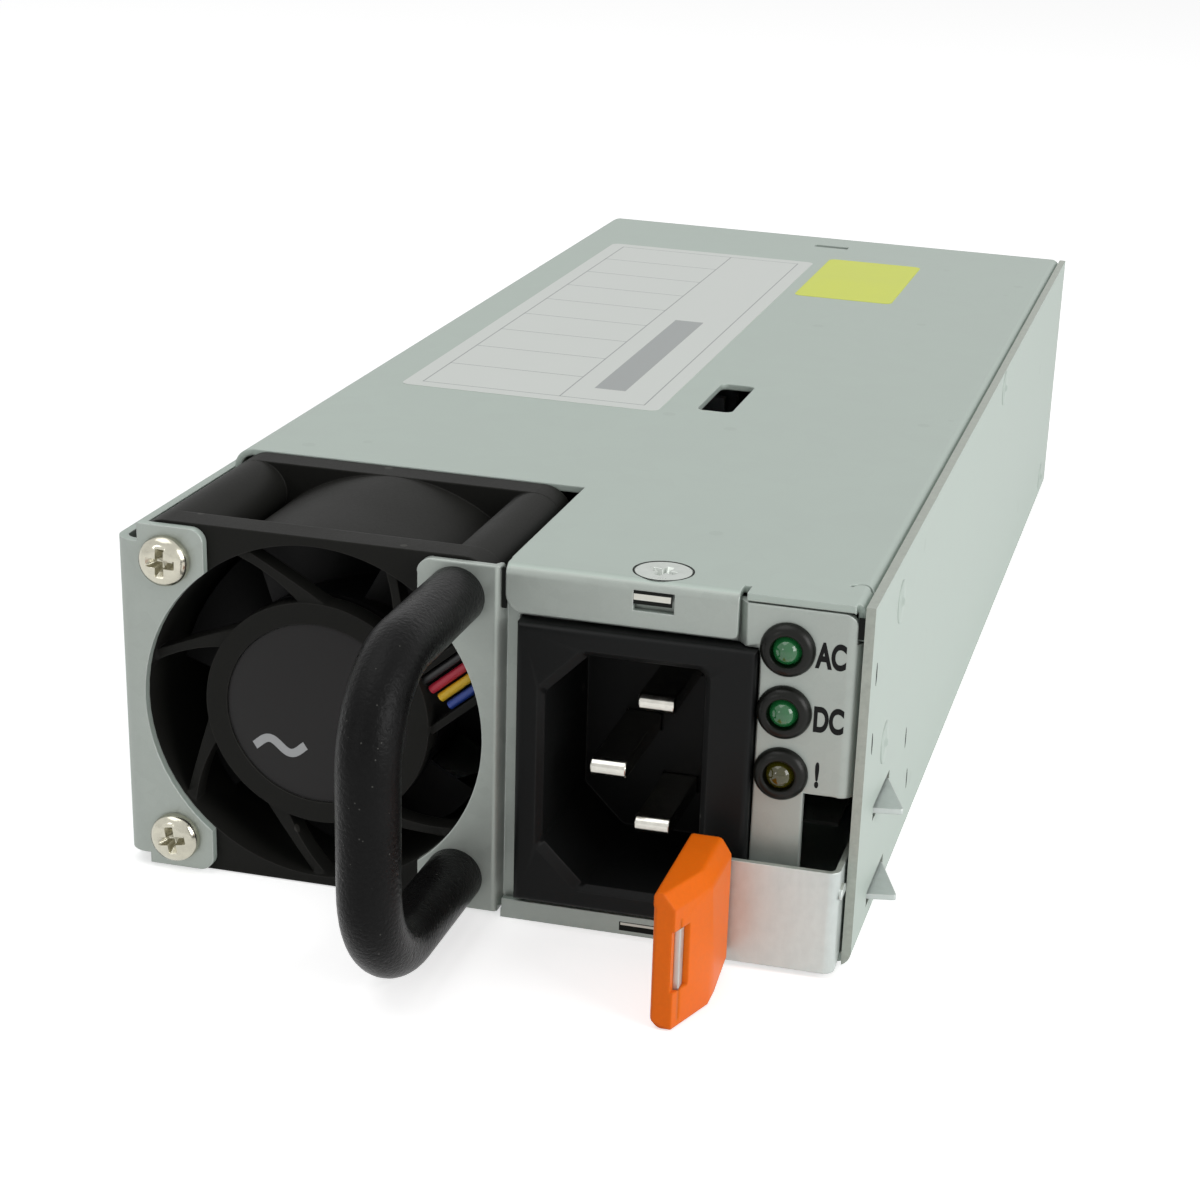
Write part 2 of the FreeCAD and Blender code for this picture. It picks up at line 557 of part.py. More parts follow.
def channel_bar(along, y, half):
    ends = ((along[0], -half), (along[1], -half), (along[1], half), (along[0], half))
    corners = [on_channel(s, t, 0) for s, t in ends]
    return plate([(c.x, c.z) for c in corners], "xz", y)


def wire_channel():
    """Wide strut on the right, a trough that leads the motor wires out."""
    half = CHANNEL_W / 2
    reach = FAN_BORE_R - STATOR_R + 3
    trough = channel_bar((-2, reach), (STATOR_Y[0] + 0.6, STATOR_Y[1] + CHANNEL_FLOOR), half)
    duct = ring(V(FAN_X, FAN_Y[0], CENTRE_Z), Y, FAN_BORE_R + 0.4, STATOR_R - 1, FAN_DEPTH)
    trough = trough.common(duct)
    return trough.cut(channel_bar((-3, reach + 1), (STATOR_Y[0], STATOR_Y[1]), half - CHANNEL_FLOOR))


def fan_frame():
    """Moulded frame: two flanges, round duct, corner posts, struts and motor seat."""
    half = FAN / 2
    x, z = (FAN_X - half, FAN_X + half), (CENTRE_Z - half, CENTRE_Z + half)
    square = frame_corners(x, z, FAN_CORNER_R)
    pieces = [plate(square, "xz", (FAN_Y[0], FAN_Y[0] + FAN_FLANGE)),
              plate(square, "xz", (FAN_Y[1] - FAN_FLANGE, FAN_Y[1])),
              Part.makeCylinder(half - 0.02, FAN_DEPTH - 2, V(FAN_X, FAN_Y[0] + 1, CENTRE_Z), Y)]
    holes = []
    corner = half - FAN_CORNER_R
    for across in (-1, 1):
        for up in (-1, 1):
            post = V(FAN_X + across * corner, FAN_Y[0] + 1, CENTRE_Z + up * corner)
            pieces.append(Part.makeCylinder(FAN_CORNER_R - 0.02, FAN_DEPTH - 2, post, Y))
            spot = V(FAN_X + across * HALF_PITCH, FAN_Y[0] - 1, CENTRE_Z + up * HALF_PITCH)
            holes.append(Part.makeCylinder(FAN_HOLE_R, FAN_DEPTH + 2, spot, Y))
    body = pieces[0].fuse(pieces[1:]).removeSplitter()
    bore = Part.makeCylinder(FAN_BORE_R, FAN_DEPTH + 2, V(FAN_X, FAN_Y[0] - 1, CENTRE_Z), Y)
    lead_out = channel_bar((3, half), (FAN_Y[0] - 1, ROTOR_Y[0] + 3.5), CHANNEL_W / 2 - CHANNEL_FLOOR)
    body = body.cut([bore] + holes + [lead_out])
    return body.fuse(stator_seat()).removeSplitter()


def stator_seat():
    """Motor plate with its round label seat, the struts and the bearing tube."""
    plate_solid = Part.makeCylinder(STATOR_R, STATOR_T, V(FAN_X, STATOR_Y[0], CENTRE_Z), Y)
    dish = Part.makeCylinder(LABEL_R, LABEL_DEEP, V(FAN_X, STATOR_Y[0], CENTRE_Z), Y)
    struts = [wire_channel()]
    for i in range(1, STRUTS):
        struts.append(curved_strut(STRUT_FIRST + 360.0 * i / STRUTS))
    tube_base = V(FAN_X, STATOR_Y[1] - 1, CENTRE_Z)
    struts.append(Part.makeCylinder(TUBE_R, TUBE_LEN + 1, tube_base, Y))
    seat = plate_solid.fuse(struts)
    bore = Part.makeCylinder(BEARING_R + SEAT, TUBE_LEN + 1, V(FAN_X, STATOR_Y[1], CENTRE_Z), Y)
    return seat.cut([dish, bore])


def fan_bearings():
    rings = []
    for y in (STATOR_Y[1] + 0.6, STATOR_Y[1] + TUBE_LEN - BEARING_T):
        rings.append(ring(V(FAN_X, y, CENTRE_Z), Y, BEARING_R, SHAFT_R + SHAFT_FIT, BEARING_T))
    return rings


def fan_shaft():
    start = STATOR_Y[1] + 0.3
    return Part.makeCylinder(SHAFT_R, ROTOR_Y[1] - 0.6 - start, V(FAN_X, start, CENTRE_Z), Y)


def blade_section(radius, pitch_deg, chord):
    """Thin cambered section square to a radius, drawn with short straight sides."""
    mid_y = (ROTOR_Y[0] + ROTOR_Y[1]) / 2
    turn = math.radians(pitch_deg)
    along = V(math.sin(turn), math.cos(turn), 0)
    side = V(math.cos(turn), -math.sin(turn), 0)
    centre = V(FAN_X, mid_y, CENTRE_Z + radius)
    front, back = [], []
    for share in (-0.5, -0.2, 0.2, 0.5):
        camber = chord * 0.1 * (1 - 4 * share * share)
        half = BLADE_T / 2 * (1.1 - 4 * share * share * 0.9)
        spot = centre + along * (chord * share)
        front.append(spot + side * (camber - half))
        back.append(spot + side * (camber + half))
    loop = front + back[::-1]
    return Part.makePolygon(loop + [loop[0]])


def fan_rotor():
    """Moulded hub with twisted blades."""
    length = ROTOR_Y[1] - ROTOR_Y[0]
    hub = Part.makeCylinder(ROTOR_R, length, V(FAN_X, ROTOR_Y[0], CENTRE_Z), Y)
    hub = hub.makeChamfer(1.0, [max(hub.Edges, key=lambda e: e.BoundBox.YMin)])
    span = length - 1.5
    root_chord = span / math.cos(math.radians(BLADE_ROOT_TURN)) * 0.97
    tip_chord = span / math.cos(math.radians(BLADE_TIP_TURN)) * 0.82
    root = blade_section(ROTOR_R - 0.6, BLADE_ROOT_TURN, root_chord)
    tip = blade_section(BLADE_TIP_R, BLADE_TIP_TURN, tip_chord)
    first = Part.makeLoft([root, tip], True, True)
    limit = ring(V(FAN_X, ROTOR_Y[0] + 0.4, CENTRE_Z), Y, BLADE_TIP_R, ROTOR_R - 0.4, length - 0.8)
    first = first.common(limit)
    blades = []
    for i in range(BLADES):
        blade = first.copy()
        blade.rotate(V(FAN_X, 0, CENTRE_Z), Y, 360.0 * i / BLADES)
        blades.append(blade)
    bell = Part.makeCylinder(ROTOR_R - ROTOR_WALL, length - HUB_FLOOR, V(FAN_X, ROTOR_Y[0], CENTRE_Z), Y)
    boss = Part.makeCylinder(TUBE_R, BOSS_LEN + 0.2, V(FAN_X, ROTOR_Y[1] - HUB_FLOOR - BOSS_LEN, CENTRE_Z), Y)
    bore = Part.makeCylinder(SHAFT_R + 0.01, length, V(FAN_X, ROTOR_Y[0] - 0.6, CENTRE_Z), Y)
    return hub.cut(bell).fuse(boss).fuse(blades).removeSplitter().cut(bore)


def rotor_yoke():
    """Steel cup lining of the rotor that carries the magnet."""
    outer = ROTOR_R - ROTOR_WALL - 0.02
    length = ROTOR_Y[1] - ROTOR_Y[0] - 4.0
    return ring(V(FAN_X, ROTOR_Y[0] - 0.5, CENTRE_Z), Y, outer, outer - YOKE_WALL, length)


def rotor_magnet():
    outer = ROTOR_R - ROTOR_WALL - YOKE_WALL - 0.04
    return ring(V(FAN_X, ROTOR_Y[0] + 1.5, CENTRE_Z), Y, outer, outer - MAGNET_WALL, MAGNET_LEN)


def fan_stator():
    """Four-pole core on the bearing tube."""
    outer = ROTOR_R - ROTOR_WALL - YOKE_WALL - MAGNET_WALL - CORE_GAP
    start = ROTOR_Y[0] + 2.0
    core = ring(V(FAN_X, start, CENTRE_Z), Y, outer, TUBE_R + 0.02, CORE_LEN)
    slots = []
    y = (start - 1, start + CORE_LEN + 1)
    for i in range(4):
        slot = block((FAN_X + TUBE_R + 1.1, FAN_X + outer - 1.4), y, (CENTRE_Z - 1.6, CENTRE_Z + 1.6))
        mouth = block((FAN_X + TUBE_R + 1.5, FAN_X + outer + 1), y, (CENTRE_Z - 0.5, CENTRE_Z + 0.5))
        for cutter in (slot, mouth):
            cutter.rotate(V(FAN_X, 0, CENTRE_Z), Y, 45 + 90 * i)
            slots.append(cutter)
    return core.cut(slots)


def stator_coils():
    """One winding round each arm of the core, as a filled form in the slots' ends."""
    coils = []
    near = ROTOR_Y[0] + 2.0
    far = near + CORE_LEN
    for i in range(4):
        for y in ((near - COIL_PROUD, near - SEAT), (far + SEAT, far + COIL_PROUD)):
            coil = block((FAN_X + TUBE_R + 1.1, FAN_X + TUBE_R + 3.7), y, (CENTRE_Z - 2.2, CENTRE_Z + 2.2))
            coil.rotate(V(FAN_X, 0, CENTRE_Z), Y, 90 * i)
            coils.append(coil)
    return coils


def fan_board():
    """Round circuit board of the motor, behind the motor plate."""
    return ring(V(FAN_X, STATOR_Y[1] + SEAT, CENTRE_Z), Y, LABEL_R, TUBE_R + 0.1, 0.8)


def fan_screws():
    """Two short screws through the left flange into the fan."""
    screws = []
    for side in (-1, 1):
        spot = V(FAN_X - HALF_PITCH, 0, CENTRE_Z + side * HALF_PITCH)
        screws.append(pan_screw(spot, V(0, -1, 0), FAN_HOLE_R - 0.08, 9.0))
    return screws


def pan_screw(spot, out, shank_r, length):
    """Pan head screw with its seat at spot and its head standing along out."""
    low = PAN_HEAD_T * 0.5
    head = drum(spot, out, PAN_HEAD_R, low)
    crown = drum(spot + out * low, out, PAN_HEAD_R, PAN_HEAD_T - low, PAN_HEAD_R * 0.62)
    shank = drum(spot - out * length, out, shank_r, length)
    return head.fuse([crown, shank]).removeSplitter()


# ---------------------------------------------------------------- handle

def handle_bar():
    """Round bar bent twice, standing straight out from the fan's right corners."""
    x = FAN_X + HALF_PITCH
    low, high = CENTRE_Z - HALF_PITCH, CENTRE_Z + HALF_PITCH
    front, bend = -HANDLE_REACH, HANDLE_BEND
    skew = bend * (1 - math.sqrt(0.5))
    corners = ((low, 1), (high, -1))
    first, second = corners
    edges = [Part.LineSegment(V(x, 0, low), V(x, front + bend, low)).toShape(),
             Part.Arc(V(x, front + bend, low), V(x, front + skew, first[0] + first[1] * skew),
                      V(x, front, low + bend)).toShape(),
             Part.LineSegment(V(x, front, low + bend), V(x, front, high - bend)).toShape(),
             Part.Arc(V(x, front, high - bend), V(x, front + skew, second[0] + second[1] * skew),
                      V(x, front + bend, high)).toShape(),
             Part.LineSegment(V(x, front + bend, high), V(x, 0, high)).toShape()]
    section = Part.Wire([Part.makeCircle(HANDLE_D / 2, V(x, 0, low), Y)])
    bar = Part.Wire(edges).makePipeShell([section], True, False)
    threads = []
    for z in (low, high):
        threads.append(drum(V(x, -HANDLE_THREAD_LEN, z), Y, HANDLE_THREAD_R + SEAT, HANDLE_THREAD_LEN))
    return bar.cut(threads)


def handle_screws():
    """Two long screws from behind the fan into the ends of the handle."""
    screws = []
    for side in (-1, 1):
        spot = V(FAN_X + HALF_PITCH, FAN_Y[1], CENTRE_Z + side * HALF_PITCH)
        screws.append(pan_screw(spot, Y, HANDLE_THREAD_R, FAN_Y[1] + HANDLE_THREAD_LEN - 1))
    return screws


# ---------------------------------------------------------------- inlet

def inlet_housing():
    """Moulded inlet body with the keyed cavity for a mains connector."""
    body = block(INLET_X, (-INLET_PROUD, CAVITY_DEEP + 1.2), INLET_Z)
    rim = [e for e in body.Edges if e.BoundBox.YMax < -INLET_PROUD + 1e-3]
    body = body.makeFillet(0.8, rim)
    back_x, back_z = (INLET_X[0] + 2, INLET_X[1] - 2), (INLET_Z[0] + 2, INLET_Z[1] - 2)
    back = block(back_x, (CAVITY_DEEP, INLET_DEEP), back_z)
    right, top = CAVITY_X + CAVITY_W, CAVITY_Z + CAVITY_H
    cut = CAVITY_CORNER
    corners = [(CAVITY_X + cut, CAVITY_Z, 0.8), (right, CAVITY_Z, 1.2), (right, top, 1.2),
               (CAVITY_X + cut, top, 0.8), (CAVITY_X, top - cut, 0.8), (CAVITY_X, CAVITY_Z + cut, 0.8)]
    floor = CAVITY_DEEP - INLET_PROUD
    cavity = plate(corners, "xz", (-INLET_PROUD - 1, floor))
    mouth = outline(corners, "xz", -INLET_PROUD + MOUTH_BEVEL)
    wide = [(u + MOUTH_BEVEL * (1 if u > PIN_ROW_X else -1), v + MOUTH_BEVEL * (1 if v > PIN_Z else -1), r)
            for u, v, r in corners]
    bevel = Part.makeLoft([mouth, outline(wide, "xz", -INLET_PROUD - 0.01)], True, True)
    pins = pin_blades(FIT / 3, INLET_DEEP + 2)
    return body.fuse(back).removeSplitter().cut([cavity, bevel] + pins)


def pin_blade(x, z, tip, back, margin):
    return block((x - PIN_W / 2 - margin, x + PIN_W / 2 + margin), (tip, back),
                 (z - PIN_T / 2 - margin, z + PIN_T / 2 + margin))


def pin_blades(margin, back):
    """Slots for the three blades in the back of the inlet."""
    start = CAVITY_DEEP - INLET_PROUD - 0.5
    row = [(PIN_ROW_X, PIN_Z + PIN_PITCH / 2), (PIN_ROW_X, PIN_Z - PIN_PITCH / 2), (EARTH_X, PIN_Z)]
    return [pin_blade(x, z, start, back, margin) for x, z in row]


def contact_pin(x, z, tip):
    """Flat blade with a tapered tip inside and a solder tail behind."""
    blade = pin_blade(x, z, tip, INLET_DEEP + PIN_TAIL, 0)
    edges = [e for e in blade.Edges if e.BoundBox.YMax < tip + 1e-3 and e.Length > PIN_T + 0.1]
    return blade.makeChamfer(0.6, edges)


# ---------------------------------------------------------------- indicators

def led_bezels():
    """Three round snap-in holders with a domed rim."""
    holders = []
    for z in LED_Z:
        slope = BEZEL_PROUD * 0.7
        dome = drum(V(LED_X, -BEZEL_PROUD, z), Y, BEZEL_R - slope, slope, BEZEL_R, sides=24)
        rim = drum(V(LED_X, slope - BEZEL_PROUD, z), Y, BEZEL_R, BEZEL_PROUD - slope, sides=24)
        sleeve = drum(V(LED_X, 0, z), Y, BEZEL_BODY_R, BEZEL_DEEP, sides=24)
        bore = drum(V(LED_X, -BEZEL_PROUD - 1, z), Y, LED_R + SEAT, BEZEL_DEEP + BEZEL_PROUD + 2, sides=24)
        holders.append(dome.fuse([rim, sleeve]).cut(bore).removeSplitter())
    return holders


def led_lamp(z):
    """Clear plastic lamp with a rounded nose and two legs to its board."""
    nose = -BEZEL_PROUD - 0.5
    slope = LED_R * 0.45
    tip = drum(V(LED_X, nose, z), Y, LED_R - slope, slope, LED_R, sides=24)
    body = drum(V(LED_X, nose + slope, z), Y, LED_R, LED_LEN - slope, sides=24)
    legs = []
    for side in (-1, 1):
        leg_x = (LED_X + side * 0.9 - 0.25, LED_X + side * 0.9 + 0.25)
        legs.append(block(leg_x, (nose + LED_LEN - 0.2, LED_BOARD_Y), (z - 0.25, z + 0.25)))
    return tip.fuse([body] + legs).removeSplitter()


def indicator_board():
    x = (INLET_X[1] + 0.4, LED_X + 3.4)
    z = (LED_Z[2] - 3.2, LED_Z[0] + 2.6)
    return block(x, (LED_BOARD_Y, LED_BOARD_Y + LED_BOARD_T), z)


# ---------------------------------------------------------------- latch

def latch_spring():
    """Spring strip: tongue in the grip, front plate, and web with two teeth."""
    tip = GRIP_Y[0] + 1.2
    line = [(LATCH_LEFT, tip), (LATCH_LEFT, STRIP_FRONT, STRIP_BEND),
            (STRIP_OUT, STRIP_FRONT, STRIP_BEND), (STRIP_OUT, LATCH_PIVOT_Y)]
    strip = bent_sheet(line, STRIP, "xy", (0, LATCH_WEB[1]))
    low, web, neck = LATCH_LOW, LATCH_WEB, (LATCH_WEB[0] + LATCH_NECK, LATCH_WEB[1] - LATCH_NECK)
    step, wide, narrow = TOOTH_Y[0] - 2.0, TOOTH_Y[1] + 8, TOOTH_Y[1] + 16
    side = [(tip - 1, low[0]), (-PANEL, low[0], 0.6), (PANEL, LATCH_STEP, 0.6), (step - 2, LATCH_STEP, 0.8),
            (step, web[0], 0.8), (wide, web[0]), (narrow, neck[0]), (LATCH_PIVOT_Y, neck[0]),
            (LATCH_PIVOT_Y, neck[1]), (narrow, neck[1]), (wide, web[1]),
            (step + 1, web[1], 0.5), (step, low[1], 0.5), (tip - 1, low[1])]
    strip = strip.common(plate(side, "yz", (LATCH_LEFT - GRIP_T, CASE_W)))
    apex = CASE_W + TOOTH_OUT
    inner = STRIP_OUT - STRIP
    tooth = [(inner, TOOTH_Y[0]), (apex, TOOTH_Y[0] + TOOTH_APEX, 0.3), (CASE_W + 0.1, TOOTH_Y[1]),
             (inner, TOOTH_Y[1])]
    teeth = [plate(tooth, "xy", (web[0], web[0] + STRIP)), plate(tooth, "xy", (web[1] - STRIP, web[1]))]
    stop = Part.makeCylinder(STOP_R, STRIP / 2, V(STRIP_OUT, STOP_Y, STOP_Z), X)
    stop = stop.cut(block((INNER_R - 1, CASE_W), (-LATCH_STAND, 0), (STOP_Z - 2 * STOP_R, STOP_Z)))
    return strip.fuse(teeth + [stop]).removeSplitter()


def latch_grip():
    """Moulded finger grip on the strip's bent end, its right front corner cut away."""
    middle = LATCH_LEFT - STRIP / 2
    left, right = middle - GRIP_T / 2, middle + GRIP_T / 2
    front, back = GRIP_Y
    base, top = GRIP_Z
    cut_x, cut_y = GRIP_CORNER
    bevel, drop = GRIP_TOP_BEVEL
    plan = [(left, back), (left, front), (right - cut_x, front), (right, front + cut_y), (right, back)]
    square = cut_y / math.hypot(cut_x, cut_y)
    slip = bevel * (1 - square) * math.hypot(cut_x, cut_y) / cut_x
    inner = [(left, back), (left, front), (right - cut_x - bevel / square, front),
             (right - bevel, front + cut_y + slip), (right - bevel, back)]
    rings = []
    for points, z in ((plan, top - drop), (inner, top)):
        loop = [V(u, v, z) for u, v in points]
        rings.append(Part.makePolygon(loop + [loop[0]]))
    body = plate(plan, "xy", (base, top - drop)).fuse(Part.makeLoft(rings, True, True))
    toe = plate([(left - 1, base - 1), (left + GRIP_EDGE + 1, base - 1), (left - 1, base + GRIP_EDGE + 1)],
                "xz", (front - 1, back + 1))
    heel_y, heel_z = GRIP_HEEL
    heel = plate([(back + 1, base - 1), (back + 1, base + heel_z), (back, base + heel_z),
                  (back - heel_y, base), (back - heel_y, base - 1)], "yz", (left - 1, right + 1))
    margin = STRIP / 2 + 0.01
    seat = block((middle - margin, middle + margin), (front + 1, back + 1),
                 (LATCH_LOW[0] - 0.01, LATCH_LOW[1] + 0.01))
    wide, tall = GRIP_MOUTH
    z = (sum(GRIP_Z) - tall) / 2
    mouth = block((middle - margin, middle - margin + wide), (front - 1, front + 2.6), (z, z + tall))
    return body.cut([toe, heel, seat, mouth]).removeSplitter()


def latch_foot():
    """Fixed end of the spring strip, riveted to the right side."""
    y = (LATCH_PIVOT_Y + 0.15, LATCH_PIVOT_Y + 0.15 + LATCH_FOOT_LEN)
    z = (LATCH_WEB[0] + LATCH_NECK, LATCH_WEB[1] - LATCH_NECK)
    foot = block((INNER_R - STRIP, INNER_R), y, z)
    return foot.cut(foot_holes(0.02, 3))


def foot_holes(margin, length):
    z = sum(LATCH_WEB) / 2
    holes = []
    for share in (0.28, 0.75):
        spot = V(INNER_R - length / 2, LATCH_PIVOT_Y + LATCH_FOOT_LEN * share, z)
        holes.append(drum(spot, X, RIVET_R + margin, length))
    return holes


def latch_rivets():
    """Two rivets with low heads on the inside, set flush in the side."""
    rivets = []
    z = sum(LATCH_WEB) / 2
    for share in (0.28, 0.75):
        spot = V(INNER_R - STRIP, LATCH_PIVOT_Y + LATCH_FOOT_LEN * share, z)
        head = drum(spot - X * RIVET_HEAD_T, X, RIVET_HEAD_R, RIVET_HEAD_T)
        shank = drum(spot, X, RIVET_R, STRIP)
        rivets.append(head.fuse(shank))
    return rivets


# ---------------------------------------------------------------- boards

def main_board():
    """Power board with the blade edge that plugs into the server."""
    x, y = BOARD_X, BOARD_Y
    tip = CASE_L + EDGE_OUT
    corners = [(x[0], y[0], 1), (NOTCH_X, y[0], 1), (NOTCH_X, NOTCH_Y, 1), (x[1], NOTCH_Y, 1),
               (x[1], y[1], 1), (EDGE_X[1], y[1]), (EDGE_X[1], tip, 1.2), (EDGE_X[0], tip, 1.2),
               (EDGE_X[0], y[1]), (x[0], y[1], 1)]
    board = plate(corners, "xy", (BOARD_Z, BOARD_TOP))
    holes = []
    for u, v in STANDOFFS:
        holes.append(drum(V(u, v, BOARD_Z - 1), Z, SCREW_R + FIT, BOARD_T + 2))
    return board.cut(holes)


def edge_contacts():
    """Plated contacts on both faces of the blade edge."""
    pads = []
    count = int((EDGE_X[1] - EDGE_X[0] - 2) / CONTACT_PITCH)
    start = (EDGE_X[0] + EDGE_X[1] - count * CONTACT_PITCH) / 2
    y = (CASE_L + EDGE_OUT - 0.8 - CONTACT_LEN, CASE_L + EDGE_OUT - 0.8)
    for i in range(count):
        left = start + CONTACT_PITCH * i + (CONTACT_PITCH - CONTACT_W) / 2
        for z in (BOARD_Z - CONTACT_T, BOARD_TOP):
            pads.append(block((left, left + CONTACT_W), y, (z, z + CONTACT_T)))
    return pads


def standoffs():
    """Six-sided posts between the base and the board."""
    posts = []
    for u, v in STANDOFFS:
        post = drum(V(u, v, WALL), Z, STANDOFF_R, BOARD_Z - WALL, sides=6)
        posts.append(post.cut(drum(V(u, v, WALL - 1), Z, SCREW_R + SEAT, BOARD_Z)))
    return posts


def board_screws():
    screws = []
    for u, v in STANDOFFS:
        head = drum(V(u, v, BOARD_TOP), Z, PAN_HEAD_R, PAN_HEAD_T)
        shank = drum(V(u, v, BOARD_TOP - BOARD_T - 3), Z, SCREW_R, BOARD_T + 3)
        screws.append(head.fuse(shank))
    return screws


def insulator_sheet():
    x, y = (WALL + 0.8, NOTCH_X), (BOARD_Y[0] - 2, CASE_L - WALL - 1)
    sheet = block(x, y, (WALL, WALL + SHEET_T))
    holes = [drum(V(u, v, WALL - 0.5), Z, STANDOFF_R + 0.3, 2, sides=6) for u, v in STANDOFFS]
    return sheet.cut(holes)


# ---------------------------------------------------------------- parts on the board

def upright_can(u, v, radius, height):
    """Electrolytic capacitor that stands on the board."""
    return drum(V(u, v, BOARD_TOP), Z, radius, height)


def bulk_capacitor():
    """Large high-voltage capacitor that lies along the board."""
    length = BULK_Y[1] - BULK_Y[0]
    spot = V(WALL + PART_GAP + 0.4 + BULK_R, BULK_Y[0], BOARD_TOP + BULK_R)
    groove, lip = 1.6, 3.4
    body = drum(spot, Y, BULK_R, length - groove - lip, sides=32)
    neck = drum(spot + Y * (length - groove - lip), Y, BULK_R - 0.8, groove, sides=32)
    end = drum(spot + Y * (length - lip), Y, BULK_R, lip, sides=32)
    return body.fuse([neck, end])


def choke_core():
    """Ferrite ring of the mains filter, standing across the board."""
    return ring(V(CHOKE_X, CHOKE_Y, CHOKE_Z), Y, CHOKE_R, CHOKE_HOLE, CHOKE_T)


def choke_windings():
    """Two windings wound round opposite parts of the ring."""
    coils = []
    lift = SEAT / 2
    room = ring(V(CHOKE_X, CHOKE_Y - lift, CHOKE_Z), Y, CHOKE_R + lift, CHOKE_HOLE - lift, CHOKE_T + 2 * lift)
    for low in (205, 25):
        start = V(CHOKE_X, CHOKE_Y - CHOKE_WIRE / 2, CHOKE_Z)
        turns = ring(start, Y, CHOKE_R + CHOKE_WIRE, CHOKE_HOLE - CHOKE_WIRE, CHOKE_T + CHOKE_WIRE)
        coils.append(turns.common(wedge(CHOKE_X, CHOKE_Z, low, 130)).cut(room))
    return coils


def wedge(u, v, start, sweep):
    """Slice of a disc on the xz plane, seen from the front."""
    far = 3 * CHOKE_R
    points = [(u, v)]
    for step in range(4):
        turn = math.radians(start + sweep * step / 3)
        points.append((u + far * math.cos(turn), v + far * math.sin(turn)))
    return plate(points, "xz", (CHOKE_Y - CHOKE_T, CHOKE_Y + 3 * CHOKE_T))


def choke_stand():
    """Plastic cradle under the filter ring."""
    y = (CHOKE_Y - 1, CHOKE_Y + CHOKE_T + 1)
    half = CHOKE_R - 1.5
    base = block((CHOKE_X - half, CHOKE_X + half), y, (BOARD_TOP, BOARD_TOP + 4.0))
    return base.cut(Part.makeCylinder(CHOKE_R + CHOKE_WIRE + SEAT, 20, V(CHOKE_X, CHOKE_Y - 5, CHOKE_Z), Y))


def filter_capacitors():
    """Box capacitors of the mains filter."""
    boxes = []
    places = ((WALL + 10.5, 14.5, 1.5, 7.5, 17), (WALL + 5, 18, 11.5, 8.5, 19), (WALL + 26, 12, 13, 7, 12))
    for left, width, behind, deep, tall in places:
        y = BOARD_Y[0] + behind
        boxes.append(block((left, left + width), (y, y + deep), (BOARD_TOP, BOARD_TOP + tall)))
    return boxes


def fuse():
    """Mains fuse lying on the board between its two end caps."""
    spot = V(WALL + 26.6, BOARD_Y[0] + 4.5, BOARD_TOP + FUSE_R)
    body = drum(spot, X, FUSE_R - 0.3, FUSE_LEN)
    caps = [drum(spot + X * shift, X, FUSE_R, FUSE_CAP) for shift in (0, FUSE_LEN - FUSE_CAP)]
    return body.fuse(caps)


def heatsink(left, y, fins):
    """Upright plate with thin fins pushed out to the right."""
    top = INNER_TOP - 1.0
    body = block((left, left + SINK_WALL), y, (BOARD_TOP, top))
    plates = []
    step = (y[1] - y[0] - FIN_T) / (SINK_FINS - 1)
    for i in range(SINK_FINS):
        start = y[0] + step * i
        plates.append(block((left, left + SINK_WALL + fins), (start, start + FIN_T), (BOARD_TOP + 9, top)))
    return body.fuse(plates).removeSplitter()


def power_packages():
    """Flat transistor packages against a heatsink, legs down to the board."""
    packages = []
    left = SINK_X - PACKAGE_T - SEAT
    middle = left + PACKAGE_T / 2
    pitch = (BULK_Y[1] - BULK_Y[0] - 4 - PACKAGE_W) / 3
    for i in range(3):
        y = BULK_Y[0] + 4 + pitch * i
        bottom = BOARD_TOP + 5
        body = block((left, left + PACKAGE_T), (y, y + PACKAGE_W), (bottom, bottom + PACKAGE_H))
        legs = []
        for share in (0.16, 0.45, 0.74):
            leg_y = y + PACKAGE_W * share
            legs.append(block((middle - 0.3, middle + 0.3), (leg_y, leg_y + 1), (BOARD_TOP, bottom + 0.2)))
        packages.append(body.fuse(legs))
    return packages


def wound_core(x, y, top, leg):
    """Ferrite core halves that close round a coil; the coil fits between."""
    body = block(x, y, (BOARD_TOP + 1, top))
    window = block((x[0] + leg, x[1] - leg), (y[0] - 1, y[1] + 1), (BOARD_TOP + 1 + leg, top - leg))
    return body.cut(window)


def wound_coil(x, y, top, leg, over):
    """Winding and bobbin through a core's window, standing out at both ends."""
    inner = 0.3
    coil = block((x[0] + leg + inner, x[1] - leg - inner), (y[0] - over, y[1] + over),
                 (BOARD_TOP + 1 + leg + inner, top - leg - inner))
    coil = coil.makeChamfer(1.2, [e for e in coil.Edges if e.BoundBox.YMax - e.BoundBox.YMin > 1])
    foot = block((x[0] + leg, x[1] - leg), (y[0] - over, y[0] - 1), (BOARD_TOP, BOARD_TOP + 2 + leg))
    back = block((x[0] + leg, x[1] - leg), (y[1] + 1, y[1] + over), (BOARD_TOP, BOARD_TOP + 2 + leg))
    return coil.fuse([foot, back]).removeSplitter()


def control_board():
    """Upright daughter board with the control chips."""
    left = CASE_W - WALL - 17.0
    y = (TRANSFORMER_Y, TRANSFORMER_Y + CONTROL_L)
    return block((left, left + CONTROL_T), y, (BOARD_TOP, INNER_TOP - 6))


def control_chips():
    chips = []
    left = CASE_W - WALL - 17.0 + CONTROL_T
    for share, size, drop in ((0.14, 7, 9), (0.48, 9, 10), (0.8, 5, 7)):
        y, top = TRANSFORMER_Y + CONTROL_L * share, INNER_TOP - drop
        chips.append(block((left, left + 1.4), (y, y + size), (top - size, top)))
    return chips


def fan_plug():
    """Small connector that takes the four fan wires."""
    x, y = FAN_PLUG
    return block(x, y, (BOARD_TOP, BOARD_TOP + FAN_PLUG_H))


